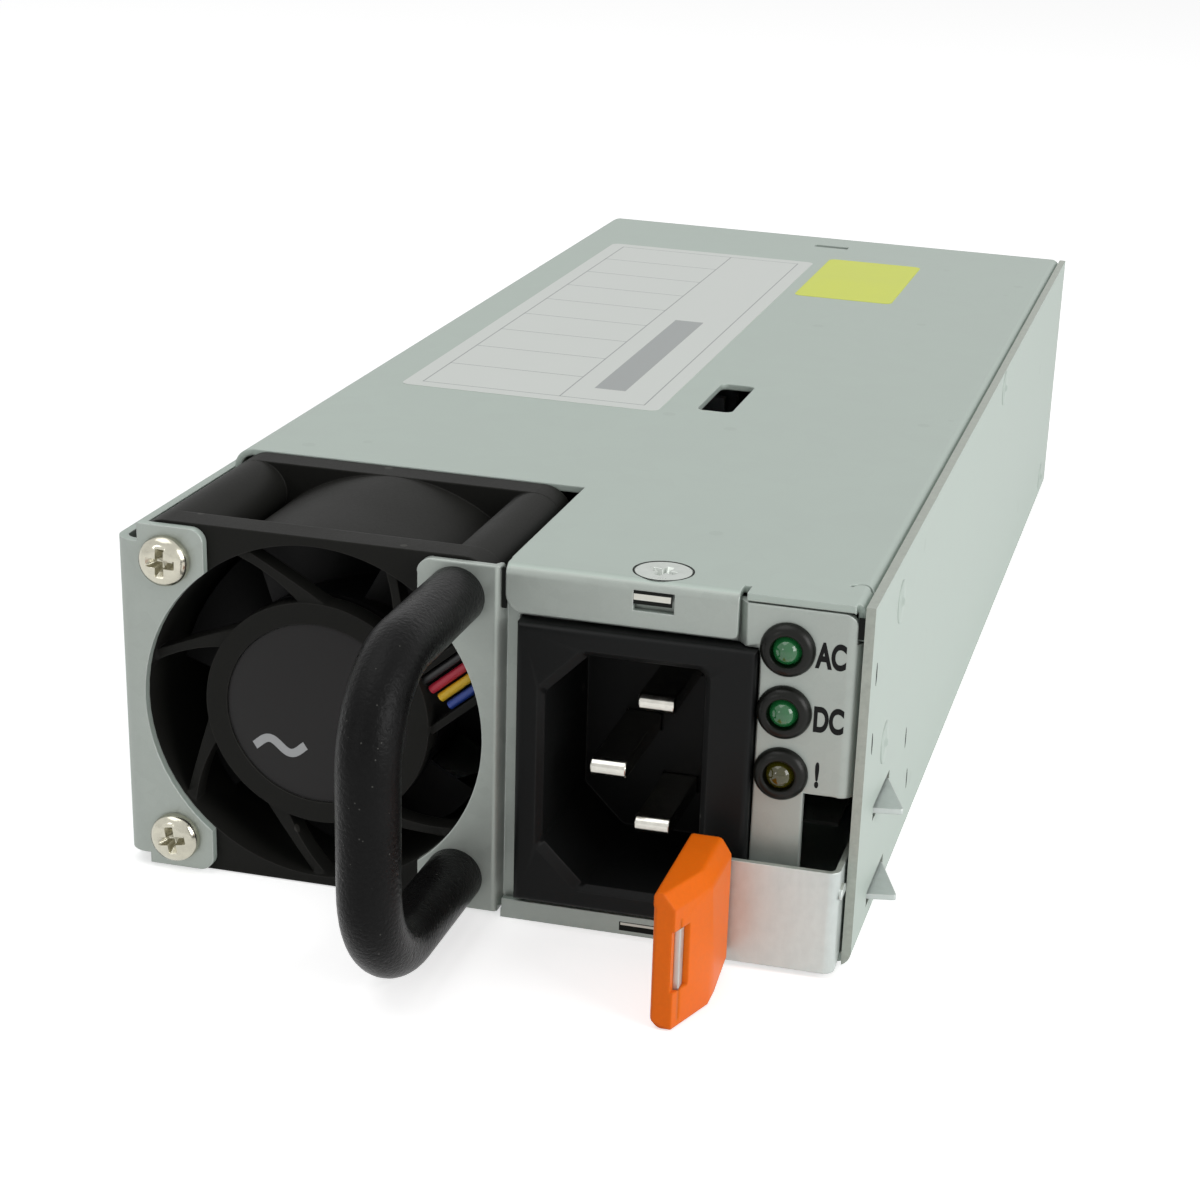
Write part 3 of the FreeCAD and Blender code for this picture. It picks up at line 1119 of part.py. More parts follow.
def fan_wire(index):
    """Motor wire from the hub, out through the trough and back to the board."""
    side = WIRE_PITCH * (1.5 - index)
    across = sum(FAN_PLUG[0]) / 2 + 2.0 * (index - 1.5)
    lane_y = STATOR_Y[0] + 3 * WIRE_R
    plug_y = sum(FAN_PLUG[1]) / 2
    plug_z = BOARD_TOP + FAN_PLUG_H
    tilt = math.radians(CHANNEL_TILT)
    lean = math.radians(CHANNEL_TILT - CHANNEL_ROOT)
    clear = STATOR_R + WIRE_R
    start = math.sqrt(clear ** 2 - (STATOR_R * math.sin(lean) - side) ** 2) - STATOR_R * math.cos(lean)
    first = on_channel(start, side, lane_y)
    z = first.z + (WIRE_LANE - first.x) * math.tan(tilt)
    points = [first, V(WIRE_LANE, lane_y, z), V(WIRE_LANE, CUT_Y, z),
              V(across, plug_y, z - 1), V(across, plug_y, plug_z)]
    return cord(points, WIRE_R)


def inlet_leads():
    """Three insulated leads from the inlet's tails to the board."""
    leads = []
    start = INLET_DEEP + PIN_TAIL
    half = PIN_PITCH / 2
    routes = ((PIN_ROW_X, PIN_Z + half, INLET_X[0] + 19, 10.0),
              (PIN_ROW_X, PIN_Z - half, INLET_X[0] + 24, 5.0),
              (EARTH_X, PIN_Z, INLET_X[0] + 6, 7.0))
    for x, z, end, up in routes:
        points = [V(x, start, z), V(x, start + 4.2, z),
                  V(end, LEAD_END_Y, BOARD_TOP + up), V(end, LEAD_END_Y, BOARD_TOP)]
        leads.append(cord(points, LEAD_R))
    return leads


def build_case():
    save("chassis", chassis())
    save("top_cover", top_cover())
    save("front_panel", front_panel())
    save("cover_screw", cover_screw())


def build_fan():
    save("fan_frame", fan_frame())
    save("fan_rotor", fan_rotor())
    save("rotor_yoke", rotor_yoke())
    save("rotor_magnet", rotor_magnet())
    save("fan_shaft", fan_shaft())
    save("fan_bearings", *fan_bearings())
    save("fan_stator", fan_stator())
    save("stator_coils", *stator_coils())
    save("fan_board", fan_board())
    save("fan_screws", *fan_screws())
    save("fan_plug", fan_plug())
    for index, colour in enumerate(("black", "red", "yellow", "blue")):
        save("fan_wire_" + colour, fan_wire(index))


def build_front():
    save("handle_bar", handle_bar())
    save("handle_screws", *handle_screws())
    save("inlet_housing", inlet_housing())
    tip = PIN_BACK - INLET_PROUD
    save("earth_pin", contact_pin(EARTH_X, PIN_Z, tip - EARTH_LEAD))
    save("line_pin", contact_pin(PIN_ROW_X, PIN_Z + PIN_PITCH / 2, tip))
    save("neutral_pin", contact_pin(PIN_ROW_X, PIN_Z - PIN_PITCH / 2, tip))
    save("inlet_leads", *inlet_leads())
    save("led_bezels", *led_bezels())
    save("led_input", led_lamp(LED_Z[0]))
    save("led_output", led_lamp(LED_Z[1]))
    save("led_fault", led_lamp(LED_Z[2]))
    save("indicator_board", indicator_board())
    save("latch_spring", latch_spring())
    save("latch_grip", latch_grip())
    save("latch_foot", latch_foot())
    save("latch_rivets", *latch_rivets())


def build_boards():
    save("main_board", main_board())
    save("edge_contacts", *edge_contacts())
    save("standoffs", *standoffs())
    save("board_screws", *board_screws())
    save("insulator_sheet", insulator_sheet())
    save("control_board", control_board())
    save("control_chips", *control_chips())


def build_power_parts():
    save("bulk_capacitor", bulk_capacitor())
    save("choke_core", choke_core())
    save("choke_windings", *choke_windings())
    save("choke_stand", choke_stand())
    save("filter_capacitors", *filter_capacitors())
    save("fuse", fuse())
    save("primary_heatsink", heatsink(SINK_X, (BULK_Y[0] + 2, BULK_Y[1] - 2), 6.0))
    save("power_transistors", *power_packages())
    x, y, top = (SINK_X + 12, SINK_X + 12 + PFC_W), (MIDDLE_Y + 4, MIDDLE_Y + 4 + PFC_L), INNER_TOP - 3
    save("pfc_core", wound_core(x, y, top, PFC_LEG))
    save("pfc_coil", wound_coil(x, y, top, PFC_LEG, 4.0))
    x = (WALL + PART_GAP + 3, WALL + PART_GAP + 3 + TRANSFORMER_W)
    y = (TRANSFORMER_Y, TRANSFORMER_Y + TRANSFORMER_L)
    save("transformer_core", wound_core(x, y, INNER_TOP, TRANSFORMER_LEG))
    save("transformer_coil", wound_coil(x, y, INNER_TOP, TRANSFORMER_LEG, 5.0))
    y = (TRANSFORMER_Y - 4, TRANSFORMER_Y - 4 + OUTPUT_SINK_L)
    save("output_heatsink", heatsink(x[1] + PART_GAP, y, 9.5))
    spot = V(WALL + 3.1 + OUTPUT_CHOKE_R, OUTPUT_Y, BOARD_TOP + OUTPUT_CHOKE_R + 0.1)
    save("output_choke", ring(spot, Y, OUTPUT_CHOKE_R, OUTPUT_CHOKE_R * 0.4, OUTPUT_CHOKE_T))
    cans = []
    for i in range(3):
        for row in (0.5, 1.5):
            u, v = CASE_W / 2 + 4.5 + OUTPUT_CAN_STEP * (i - 1), CASE_L - 7 - OUTPUT_CAN_STEP * row
            cans.append(upright_can(u, v, OUTPUT_CAN_R, 22))
    save("output_capacitors", *cans)


os.makedirs("parts", exist_ok=True)
build_case()
build_fan()
build_front()
build_boards()
build_power_parts()
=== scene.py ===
import json
import math
import bmesh
import bpy
from mathutils import Matrix, Vector


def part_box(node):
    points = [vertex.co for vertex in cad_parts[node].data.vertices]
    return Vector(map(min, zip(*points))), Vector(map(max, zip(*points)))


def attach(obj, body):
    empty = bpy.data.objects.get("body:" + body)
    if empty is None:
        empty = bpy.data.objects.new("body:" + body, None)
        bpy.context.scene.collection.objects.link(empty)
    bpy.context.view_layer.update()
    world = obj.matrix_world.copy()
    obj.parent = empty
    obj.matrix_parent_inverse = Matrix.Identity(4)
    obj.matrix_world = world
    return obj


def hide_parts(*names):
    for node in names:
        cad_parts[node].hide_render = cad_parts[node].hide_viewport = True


# Hot swap server power supply: the looks of every surface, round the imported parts
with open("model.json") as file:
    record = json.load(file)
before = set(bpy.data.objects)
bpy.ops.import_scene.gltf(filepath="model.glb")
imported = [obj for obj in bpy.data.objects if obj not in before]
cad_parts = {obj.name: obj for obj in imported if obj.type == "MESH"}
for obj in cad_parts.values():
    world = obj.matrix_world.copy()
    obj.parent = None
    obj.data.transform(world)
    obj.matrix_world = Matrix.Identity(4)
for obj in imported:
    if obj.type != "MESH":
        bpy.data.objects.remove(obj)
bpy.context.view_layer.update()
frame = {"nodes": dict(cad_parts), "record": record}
nodes = frame["nodes"]
bodyOf = {n: body for body, names in frame["record"]["behaviour"]["bodies"].items() for n in names}
mm = 0.001
corner = Vector((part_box("chassis")[0].x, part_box("front_panel")[0].y, 0.0))  # left end of the front face
print("frame loaded:", len(nodes), "nodes")


def at(x, y, z):
    # millimetres from the left end of the front face, +Y to the back
    return corner + Vector((x, y, z)) * mm


def sizeOf(node):
    # a node's box in the same millimetres
    low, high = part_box(node)
    return (low - corner) / mm, (high - corner) / mm


def middleOf(node):
    low, high = sizeOf(node)
    return (low + high) / 2


def linear(red, green, blue):
    # colour as seen, 0 to 255, as the shader wants it
    shown = [c / 255 for c in (red, green, blue)]
    return tuple(c / 12.92 if c < 0.04045 else ((c + 0.055) / 1.055) ** 2.4 for c in shown) + (1.0,)


# helpers for shader and geometry trees

def startTree(kind, name, inputs, outputs):
    # a node group with named sockets; a number stands for a float input that starts at it
    tree = bpy.data.node_groups.new(name, kind)
    for label, given in inputs.items():
        isNumber = isinstance(given, float)
        socketType = "NodeSocket" + ("Float" if isNumber else given)
        socket = tree.interface.new_socket(label, in_out="INPUT", socket_type=socketType)
        if isNumber:
            socket.default_value = given
    for label, given in outputs.items():
        tree.interface.new_socket(label, in_out="OUTPUT", socket_type="NodeSocket" + given)
    return tree, tree.nodes.new("NodeGroupInput").outputs, tree.nodes.new("NodeGroupOutput").inputs


def addNode(tree, kind, inputs=None, **settings):
    # one node; each input takes another node's socket or a plain value
    node = tree.nodes.new(kind)
    for label, value in settings.items():
        setattr(node, label, value)
    for label, value in (inputs or {}).items():
        if isinstance(value, bpy.types.NodeSocket):
            tree.links.new(value, node.inputs[label])
        else:
            node.inputs[label].default_value = value
    return node


def endTree(tree, result, **sockets):
    for label, socket in sockets.items():
        tree.links.new(socket, result[label])
    return tree


def addMath(tree, operation, first, second):
    return addNode(tree, "ShaderNodeMath", {0: first, 1: second}, operation=operation).outputs[0]


def addNoise(tree, place, scale, detail, roughness):
    return addNode(tree, "ShaderNodeTexNoise", {"Vector": place, "Scale": scale, "Detail": detail,
                                                "Roughness": roughness}).outputs["Fac"]


def objectPlace(tree):
    return tree.nodes.new("ShaderNodeTexCoord").outputs["Object"]


# shader groups that several materials share

grainOutputs = {"Shade": "Float", "Height": "Float"}


def sheetGrainGroup():
    # zinc sheet: flat crystals a few millimetres across, cloudy tone and a fine tooth
    tree, given, result = startTree("ShaderNodeTree", "sheetGrain",
                                    {"Crystals": 320.0, "Cloud": 45.0, "Tooth": 5200.0}, grainOutputs)
    place = objectPlace(tree)
    cells = addNode(tree, "ShaderNodeTexVoronoi", {"Vector": place, "Scale": given["Crystals"]})
    crystal = addNode(tree, "ShaderNodeSeparateColor", {"Color": cells.outputs["Color"]}).outputs["Red"]
    cloud = addNoise(tree, place, given["Cloud"], 4.0, 0.6)
    tooth = addNoise(tree, place, given["Tooth"], 2.0, 0.6)
    shade = addMath(tree, "MULTIPLY", crystal, 0.22)
    for layer, share in ((cloud, 0.48), (tooth, 0.4)):
        shade = addMath(tree, "ADD", shade, addMath(tree, "MULTIPLY", layer, share))
    return endTree(tree, result, Shade=shade, Height=tooth)


def mouldGrainGroup():
    # spark-eroded mould texture on plastics and coats
    tree, given, result = startTree("ShaderNodeTree", "mouldGrain", {"Scale": 3200.0, "Cloud": 90.0},
                                    grainOutputs)
    place = objectPlace(tree)
    fine = addNoise(tree, place, given["Scale"], 3.0, 0.6)
    cloud = addNoise(tree, place, given["Cloud"], 3.0, 0.5)
    both = addMath(tree, "MULTIPLY", addMath(tree, "ADD", fine, cloud), 0.5)
    return endTree(tree, result, Shade=both, Height=fine)


def brushedGrainGroup():
    # drawn or rolled metal: long faint lines with a mottle over them
    tree, given, result = startTree("ShaderNodeTree", "brushedGrain", {
        "Scale": 900.0, "Stretch X": 1.0, "Stretch Y": 1.0, "Stretch Z": 1.0}, grainOutputs)
    place = objectPlace(tree)
    stretch = addNode(tree, "ShaderNodeCombineXYZ", {axis: given["Stretch " + axis] for axis in "XYZ"})
    drawn = addNode(tree, "ShaderNodeVectorMath", {0: place, 1: stretch.outputs[0]}, operation="MULTIPLY")
    lines = addNoise(tree, drawn.outputs[0], given["Scale"], 3.0, 0.65)
    mottle = addNoise(tree, place, 700.0, 4.0, 0.7)
    both = addMath(tree, "MULTIPLY", addMath(tree, "ADD", lines, mottle), 0.5)
    return endTree(tree, result, Shade=both, Height=lines)


def specksAndGlintsGroup():
    # small spots, the share set by Amount: dust and pinholes, and on the handle's coat painted glints of
    # sparkle
    tree, given, result = startTree("ShaderNodeTree", "specksAndGlints", {"Scale": 1400.0, "Amount": 0.3},
                                    {"Mask": "Float"})
    spots = addNode(tree, "ShaderNodeTexVoronoi", {"Vector": objectPlace(tree), "Scale": given["Scale"]})
    pick = addNode(tree, "ShaderNodeSeparateColor", {"Color": spots.outputs["Color"]})
    chosen = addMath(tree, "LESS_THAN", pick.outputs["Green"], given["Amount"])
    near = addMath(tree, "LESS_THAN", spots.outputs["Distance"], 0.22)
    return endTree(tree, result, Mask=addMath(tree, "MULTIPLY", chosen, near))


def edgeWearAndSheenGroup():
    # lighter outside edges, broken up by noise: worn metal and scuffed plastic on most finishes, painted
    # highlight on the hub disc's and the cover screw's rims; also the edge's own roundness
    tree, given, result = startTree("ShaderNodeTree", "edgeWearAndSheen", {"Radius": 0.0003, "Breakup": 900.0},
                                    {"Mask": "Float", "Normal": "Vector"})
    rounded = addNode(tree, "ShaderNodeBevel", {"Radius": given["Radius"]}, samples=8).outputs[0]
    flat = tree.nodes.new("ShaderNodeNewGeometry").outputs["Normal"]
    same = addNode(tree, "ShaderNodeVectorMath", {0: rounded, 1: flat}, operation="DOT_PRODUCT")
    turned = addMath(tree, "SUBTRACT", 1.0, same.outputs["Value"])
    breakup = addNoise(tree, objectPlace(tree), given["Breakup"], 3.0, 0.6)
    amount = addMath(tree, "MULTIPLY", addMath(tree, "MULTIPLY", turned, 9.0), breakup)
    return endTree(tree, result, Mask=addMath(tree, "MINIMUM", amount, 1.0), Normal=rounded)


groups = {tree.name: tree for tree in (sheetGrainGroup(), mouldGrainGroup(), brushedGrainGroup(),
                                       specksAndGlintsGroup(), edgeWearAndSheenGroup())}


def placeGroup(tree, name, **values):
    inputs = {label.replace("_", " "): value for label, value in values.items()}
    return addNode(tree, "ShaderNodeGroup", inputs, node_tree=groups[name]).outputs


def mixColours(tree, factor, first, second):
    return addNode(tree, "ShaderNodeMix", {"Factor": factor, "A": first, "B": second},
                   data_type="RGBA").outputs["Result"]


def makeFinish(name, colour, roughness, metallic=0.0, specular=0.5, grain=None, grainValues=None,
               tone=0.08, gloss=0.1, bump=0.01, wearAndSheen=None, specksAndGlints=None, sockets=None):
    # one finish: tone and gloss vary with the grain, then lighter edges and specks are laid over it, as wear
    # and dust, and as painted highlight and painted glints on a few finishes; a metal is brushed and a
    # plastic has the mould's grain unless another is named
    material = bpy.data.materials.new(name)
    material.use_nodes = True
    tree = material.node_tree
    shader = tree.nodes["Principled BSDF"]
    plain = {"Metallic": metallic, "Specular IOR Level": specular, **(sockets or {})}
    for label, value in plain.items():
        shader.inputs[label].default_value = value
    grain = grain or ("brushedGrain" if metallic else "mouldGrain")
    pattern = placeGroup(tree, grain, **(grainValues or {}))
    shade = addNode(tree, "ShaderNodeMapRange", {"From Min": 0.3, "From Max": 0.7,
                                                 "Value": pattern["Shade"]}).outputs["Result"]
    base = linear(*colour)[:3]
    dark, light = [tuple(min(c * scale, 1.0) for c in base) + (1.0,) for scale in (1 - tone, 1 + tone)]
    shown = mixColours(tree, shade, dark, light)
    relief = addNode(tree, "ShaderNodeBump", {"Distance": bump * mm, "Height": pattern["Height"]})
    layers = []
    if wearAndSheen:
        wornAndLit = placeGroup(tree, "edgeWearAndSheen", Radius=wearAndSheen[0] * mm)
        tree.links.new(wornAndLit["Normal"], relief.inputs["Normal"])
        layers.append((wornAndLit["Mask"], *wearAndSheen[1:]))
    if specksAndGlints:
        spots = placeGroup(tree, "specksAndGlints", Scale=specksAndGlints[0], Amount=specksAndGlints[1])
        layers.append((spots["Mask"], *specksAndGlints[2:]))
    for mask, amount, over in layers:
        shown = mixColours(tree, addMath(tree, "MULTIPLY", mask, amount), shown, linear(*over))
    rough = addMath(tree, "ADD", addMath(tree, "MULTIPLY", shade, gloss), roughness - gloss / 2)
    tree.links.new(shown, shader.inputs["Base Color"])
    tree.links.new(rough, shader.inputs["Roughness"])
    tree.links.new(relief.outputs["Normal"], shader.inputs["Normal"])
    return material


# lighter edges are given as edge radius in mm, amount and colour: wear on most finishes, painted highlight on
# the hub disc's and cover screw's rims; specks as cells in a metre, share, amount and colour: dust, and
# painted glints on the handle
finishValues = {
    "galvanised": dict(colour=(175, 187, 179), roughness=0.5, metallic=0.25, grain="sheetGrain", tone=0.028,
        gloss=0.06, bump=0.003, wearAndSheen=(0.25, 0.35, (222, 227, 224)),
        specksAndGlints=(260.0, 0.04, 0.12, (130, 138, 132))),
    # frontSheet: a finer grain; its tone, darker than the galvanised, is painted shade for faces turned to
    # the front
    "frontSheet": dict(colour=(164, 171, 165), roughness=0.45, metallic=0.5, grain="sheetGrain",
        grainValues=dict(Crystals=900.0, Cloud=160.0, Tooth=6500.0), tone=0.05, bump=0.005,
        wearAndSheen=(0.22, 0.45, (224, 228, 226))),
    "shearedEdge": dict(colour=(166, 172, 163), roughness=0.5, metallic=0.3, grainValues=dict(Scale=1500.0),
        tone=0.16, gloss=0.2),
    "blackPlastic": dict(colour=(20, 21, 21), roughness=0.44, specular=0.12, tone=0.12, gloss=0.12,
        bump=0.008, wearAndSheen=(0.3, 0.14, (120, 120, 118)), specksAndGlints=(420.0, 0.03, 0.14, (140, 140, 136))),
    "fanPlastic": dict(colour=(30, 30, 28), roughness=0.55, specular=0.08, tone=0.12, gloss=0.12,
        bump=0.008, wearAndSheen=(0.25, 0.12, (110, 110, 106)), specksAndGlints=(420.0, 0.03, 0.14, (130, 128, 122))),
    "bladePlastic": dict(colour=(30, 30, 30), roughness=0.4, specular=0.15, tone=0.12, bump=0.004),
    # the hub disc's lighter rim is a painted highlight
    "hubDisc": dict(colour=(34, 33, 33), roughness=0.5, specular=0.2, gloss=0.08, bump=0.003,
        wearAndSheen=(0.2, 0.8, (130, 130, 130))),
    # the handle coat's light specks are painted glints of sparkle
    "handleCoat": dict(colour=(18, 18, 18), roughness=0.3, specular=0.08,
        grainValues=dict(Scale=2300.0, Cloud=160.0), tone=0.3, gloss=0.12, bump=0.1,
        specksAndGlints=(2600.0, 0.03, 0.5, (100, 100, 96))),
    "nickel": dict(colour=(190, 187, 172), roughness=0.2, metallic=1.0, tone=0.12, gloss=0.12, bump=0.006),
    "springStrip": dict(colour=(196, 203, 200), roughness=0.42, metallic=0.55,
        grainValues=dict(Scale=700.0, Stretch_Z=0.3), tone=0.09, gloss=0.2, bump=0.005,
        wearAndSheen=(0.2, 0.3, (236, 235, 228))),
    "orangePlastic": dict(colour=(238, 110, 14), roughness=0.42, specular=0.16,
        grainValues=dict(Scale=2200.0, Cloud=120.0), tone=0.05, gloss=0.12, bump=0.004,
        wearAndSheen=(0.4, 0.12, (240, 132, 44)), sockets={"Subsurface Weight": 0.12, "Subsurface Scale": 0.001}),
    "pinMetal": dict(colour=(206, 204, 196), roughness=0.2, metallic=1.0, grainValues=dict(Scale=1100.0),
        tone=0.14, bump=0.003),
    # the cover screw's lighter rim is a painted highlight
    "flushNickel": dict(colour=(192, 198, 192), roughness=0.3, metallic=0.6, bump=0.003,
        wearAndSheen=(0.15, 0.7, (236, 240, 236))),
    # a light steel for the catches, lighter than the sheet as painted highlight
    "catchPaintedHighlight": dict(colour=(222, 222, 212), roughness=0.4, metallic=0.3, tone=0.06, bump=0.003),
    "bezelPlastic": dict(colour=(24, 25, 22), roughness=0.3, specular=0.18, tone=0.1, gloss=0.08,
        bump=0.003),
    "legendInk": dict(colour=(16, 17, 17), roughness=0.6, specular=0.15, gloss=0.06, bump=0.002),
    "markInk": dict(colour=(172, 174, 175), roughness=0.5, tone=0.04, gloss=0.06, bump=0.002),
    "labelPaper": dict(colour=(206, 211, 206), roughness=0.36, tone=0.02, gloss=0.05, bump=0.002),
    "labelRule": dict(colour=(150, 155, 154), roughness=0.4, tone=0.05, gloss=0.05, bump=0.002),
    "yellowPaper": dict(colour=(214, 224, 62), roughness=0.4, specular=0.25, tone=0.03, gloss=0.05,
        bump=0.003),
    # a dark finish of painted shade for gaps, slits and slots
    "shadowPit": dict(colour=(30, 32, 30), roughness=0.7, specular=0.1, tone=0.1, gloss=0.05, bump=0.002),
    "boardMask": dict(colour=(26, 92, 62), roughness=0.32, grainValues=dict(Scale=900.0, Cloud=300.0),
        tone=0.12, gloss=0.08),
    "gold": dict(colour=(226, 186, 98), roughness=0.25, metallic=1.0, tone=0.1),
    "groundSteel": dict(colour=(196, 196, 196), roughness=0.18, metallic=1.0, tone=0.06),
    "cupSteel": dict(colour=(186, 182, 170), roughness=0.24, metallic=1.0, grainValues=dict(Scale=2000.0),
        tone=0.15),
    "magnet": dict(colour=(62, 60, 58), roughness=0.6, tone=0.15),
    "laminate": dict(colour=(120, 122, 128), roughness=0.4, metallic=0.8,
        grainValues=dict(Scale=1200.0, Stretch_Y=8.0), tone=0.3),
    "ferrite": dict(colour=(58, 58, 62), roughness=0.55, tone=0.2, bump=0.02),
    "copper": dict(colour=(196, 112, 62), roughness=0.3, metallic=0.9,
        grainValues=dict(Scale=1500.0, Stretch_Y=6.0), tone=0.3, bump=0.06),
    "coilTape": dict(colour=(214, 190, 72), roughness=0.34, tone=0.06),
    "aluminium": dict(colour=(206, 208, 210), roughness=0.34, metallic=1.0,
        grainValues=dict(Scale=800.0, Stretch_Z=0.1), tone=0.1),
    "epoxy": dict(colour=(40, 40, 40), roughness=0.5, tone=0.15),
    "canSleeve": dict(colour=(36, 38, 54), roughness=0.28),
    "filmBox": dict(colour=(216, 200, 96), roughness=0.4, tone=0.05),
    "nylon": dict(colour=(226, 224, 214), roughness=0.45, tone=0.04),
    "ceramic": dict(colour=(214, 206, 192), roughness=0.35, tone=0.06),
    "clearFilm": dict(colour=(206, 206, 198), roughness=0.3, tone=0.03),
    "brass": dict(colour=(218, 196, 128), roughness=0.3, metallic=1.0, tone=0.1),
    "wireBlack": dict(colour=(34, 34, 34), roughness=0.4, tone=0.06, bump=0.004),
    "wireRed": dict(colour=(196, 44, 66), roughness=0.4, tone=0.06, bump=0.004),
    "wireYellow": dict(colour=(240, 196, 40), roughness=0.38, tone=0.05, bump=0.004),
    "wireBlue": dict(colour=(44, 74, 160), roughness=0.4, tone=0.06, bump=0.004),
    "leadSleeve": dict(colour=(84, 62, 44), roughness=0.42, tone=0.06, bump=0.004),
}
finishes = {name: makeFinish(name, **values) for name, values in finishValues.items()}

# clear coloured lenses with a weak painted glow, standing in for light caught inside the lens
lensValues = {"greenLens": dict(colour=(38, 104, 60), paintedGlow=(30, 120, 60)),
              "amberLens": dict(colour=(62, 60, 12), paintedGlow=(70, 66, 6))}
for name, values in lensValues.items():
    finishes[name] = makeFinish(name, values["colour"], 0.12, tone=0.06, gloss=0.02, bump=0.0005, sockets={
        "Coat Weight": 0.4, "Coat Roughness": 0.02, "Transmission Weight": 0.3, "IOR": 1.5,
        "Emission Color": linear(*values["paintedGlow"]), "Emission Strength": 0.12})
print("finishes made:", len(finishes))

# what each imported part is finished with
dress = {
    "nickel": ("cover_screw", "handle_screws", "fan_screws", "board_screws"),
    "groundSteel": ("fan_bearings", "fan_shaft"),
    "laminate": ("fan_stator",),
    "copper": ("stator_coils", "choke_windings", "output_choke"),
    "boardMask": ("fan_board", "indicator_board", "main_board", "control_board"),
    "nylon": ("fan_plug", "choke_stand"),
    "springStrip": ("latch_foot", "latch_rivets", "latch_spring"),
    "gold": ("edge_contacts",),
    "brass": ("standoffs",),
    "clearFilm": ("insulator_sheet",),
    "epoxy": ("control_chips", "power_transistors"),
    "canSleeve": ("bulk_capacitor", "output_capacitors"),
    "ferrite": ("choke_core", "pfc_core", "transformer_core"),
    "filmBox": ("filter_capacitors",),
    "ceramic": ("fuse",),
    "aluminium": ("primary_heatsink", "output_heatsink"),
    "coilTape": ("pfc_coil", "transformer_coil"),
    "cupSteel": ("rotor_yoke",),
    "magnet": ("rotor_magnet",),
    "galvanised": ("chassis", "top_cover", "front_panel"),
    "fanPlastic": ("fan_frame",),
    "bladePlastic": ("fan_rotor",),
    "wireBlack": ("fan_wire_black",),
    "wireRed": ("fan_wire_red",),
    "wireYellow": ("fan_wire_yellow",),
    "wireBlue": ("fan_wire_blue",),
    "handleCoat": ("handle_bar",),
    "blackPlastic": ("inlet_housing",),
    "pinMetal": ("earth_pin", "line_pin", "neutral_pin"),
    "leadSleeve": ("inlet_leads",),
    "bezelPlastic": ("led_bezels",),
    "greenLens": ("led_input", "led_output"),
    "amberLens": ("led_fault",),
    "orangePlastic": ("latch_grip",),
}
for finish, names in dress.items():
    for node in names:
        nodes[node].data.materials.clear()
        nodes[node].data.materials.append(finishes[finish])
print("packed parts dressed:", sum(len(names) for names in dress.values()))


# tools for pieces

def linked(name, data):
    # an object that the scene holds
    holder = bpy.data.objects.new(name, data)
    bpy.context.scene.collection.objects.link(holder)
    return holder


def plainMesh(holder, name):
    # what an object evaluates to, as a plain mesh; the object itself goes
    view = bpy.context.evaluated_depsgraph_get()
    view.update()
    mesh = bpy.data.meshes.new_from_object(holder.evaluated_get(view))
    bpy.data.objects.remove(holder)
    mesh.name = name
    return mesh


def unshaded(shape, name):
    # a bmesh turned into a mesh as it stands
    mesh = bpy.data.meshes.new(name)
    shape.to_mesh(mesh)
    shape.free()
    return mesh


def meshOf(shape, name, smooth):
    # faces outwards, smooth but for edges sharper than the angle
    bmesh.ops.remove_doubles(shape, verts=shape.verts, dist=1e-7)
    bmesh.ops.recalc_face_normals(shape, faces=shape.faces)
    mesh = unshaded(shape, name)
    mesh.shade_smooth()
    mesh.set_sharp_from_angle(angle=math.radians(smooth))
    return mesh


def addPiece(name, shape, finish, replaced=(), body="case", smooth=40.0):
    # a visible piece from a mesh, or from a bmesh that is smoothed first
    mesh = meshOf(shape, name, smooth) if isinstance(shape, bmesh.types.BMesh) else shape
    piece = linked(name, mesh)
    if finish:
        mesh.materials.clear()
        mesh.materials.append(finishes[finish])
    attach(piece, body)
    if replaced:
        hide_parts(*replaced)
    return piece


def applied(mesh, name, *steps):
    # runs modifiers on a mesh and gives the plain result
    holder = linked(name, mesh)
    for kind, values in steps:
        modifier = holder.modifiers.new(kind.lower(), kind)
        for label, value in values.items():
            setattr(modifier, label, value)
    return plainMesh(holder, name)


def grown(mesh, name, tree, values):
    # runs a Geometry Nodes tree on a mesh with its named inputs set, and gives the plain result
    holder = bpy.data.objects.new(name, mesh)
    modifier = holder.modifiers.new("grow", "NODES")
    modifier.node_group = tree
    for item in tree.interface.items_tree:
        if item.item_type == "SOCKET" and item.in_out == "INPUT" and item.name in values:
            modifier[item.identifier] = values[item.name]
    bpy.context.scene.collection.objects.link(holder)
    return plainMesh(holder, name)


def joinLoops(shape, loops):
    # a skin over loops with the same number of points, closed at both ends
    rings = [[shape.verts.new(point) for point in loop] for loop in loops]
    for low, high in zip(rings, rings[1:]):
        for i in range(len(low)):
            j = (i + 1) % len(low)
            shape.faces.new((low[i], low[j], high[j], high[i]))
    shape.faces.new(rings[0][::-1])
    shape.faces.new(rings[-1])


def slab(shape, outline, low, high):
    # a flat sheet on an outline of (x, y), from one height to another
    joinLoops(shape, [[at(x, y, z) for x, y in outline] for z in (low, high)])


def lathe(profile, centre, axis, turns=48):
    # turns a profile of (radius, height) round an axis through a point
    shape = bmesh.new()
    side = axis.orthogonal().normalized()
    loops = []
    for radius, height in profile:
        middle = centre + axis * height * mm
        if radius < 1e-6:
            loops.append([shape.verts.new(middle)])
            continue
        spins = [Matrix.Rotation(2 * math.pi * i / turns, 3, axis) for i in range(turns)]
        loops.append([shape.verts.new(middle + spin @ side * radius * mm) for spin in spins])
    for low, high in zip(loops, loops[1:]):
        for i in range(turns):
            j = (i + 1) % turns
            ring = [low[i % len(low)], low[j % len(low)], high[j % len(high)], high[i % len(high)]]
            face = list(dict.fromkeys(ring))
            if len(face) > 2:
                shape.faces.new(face)
    return shape


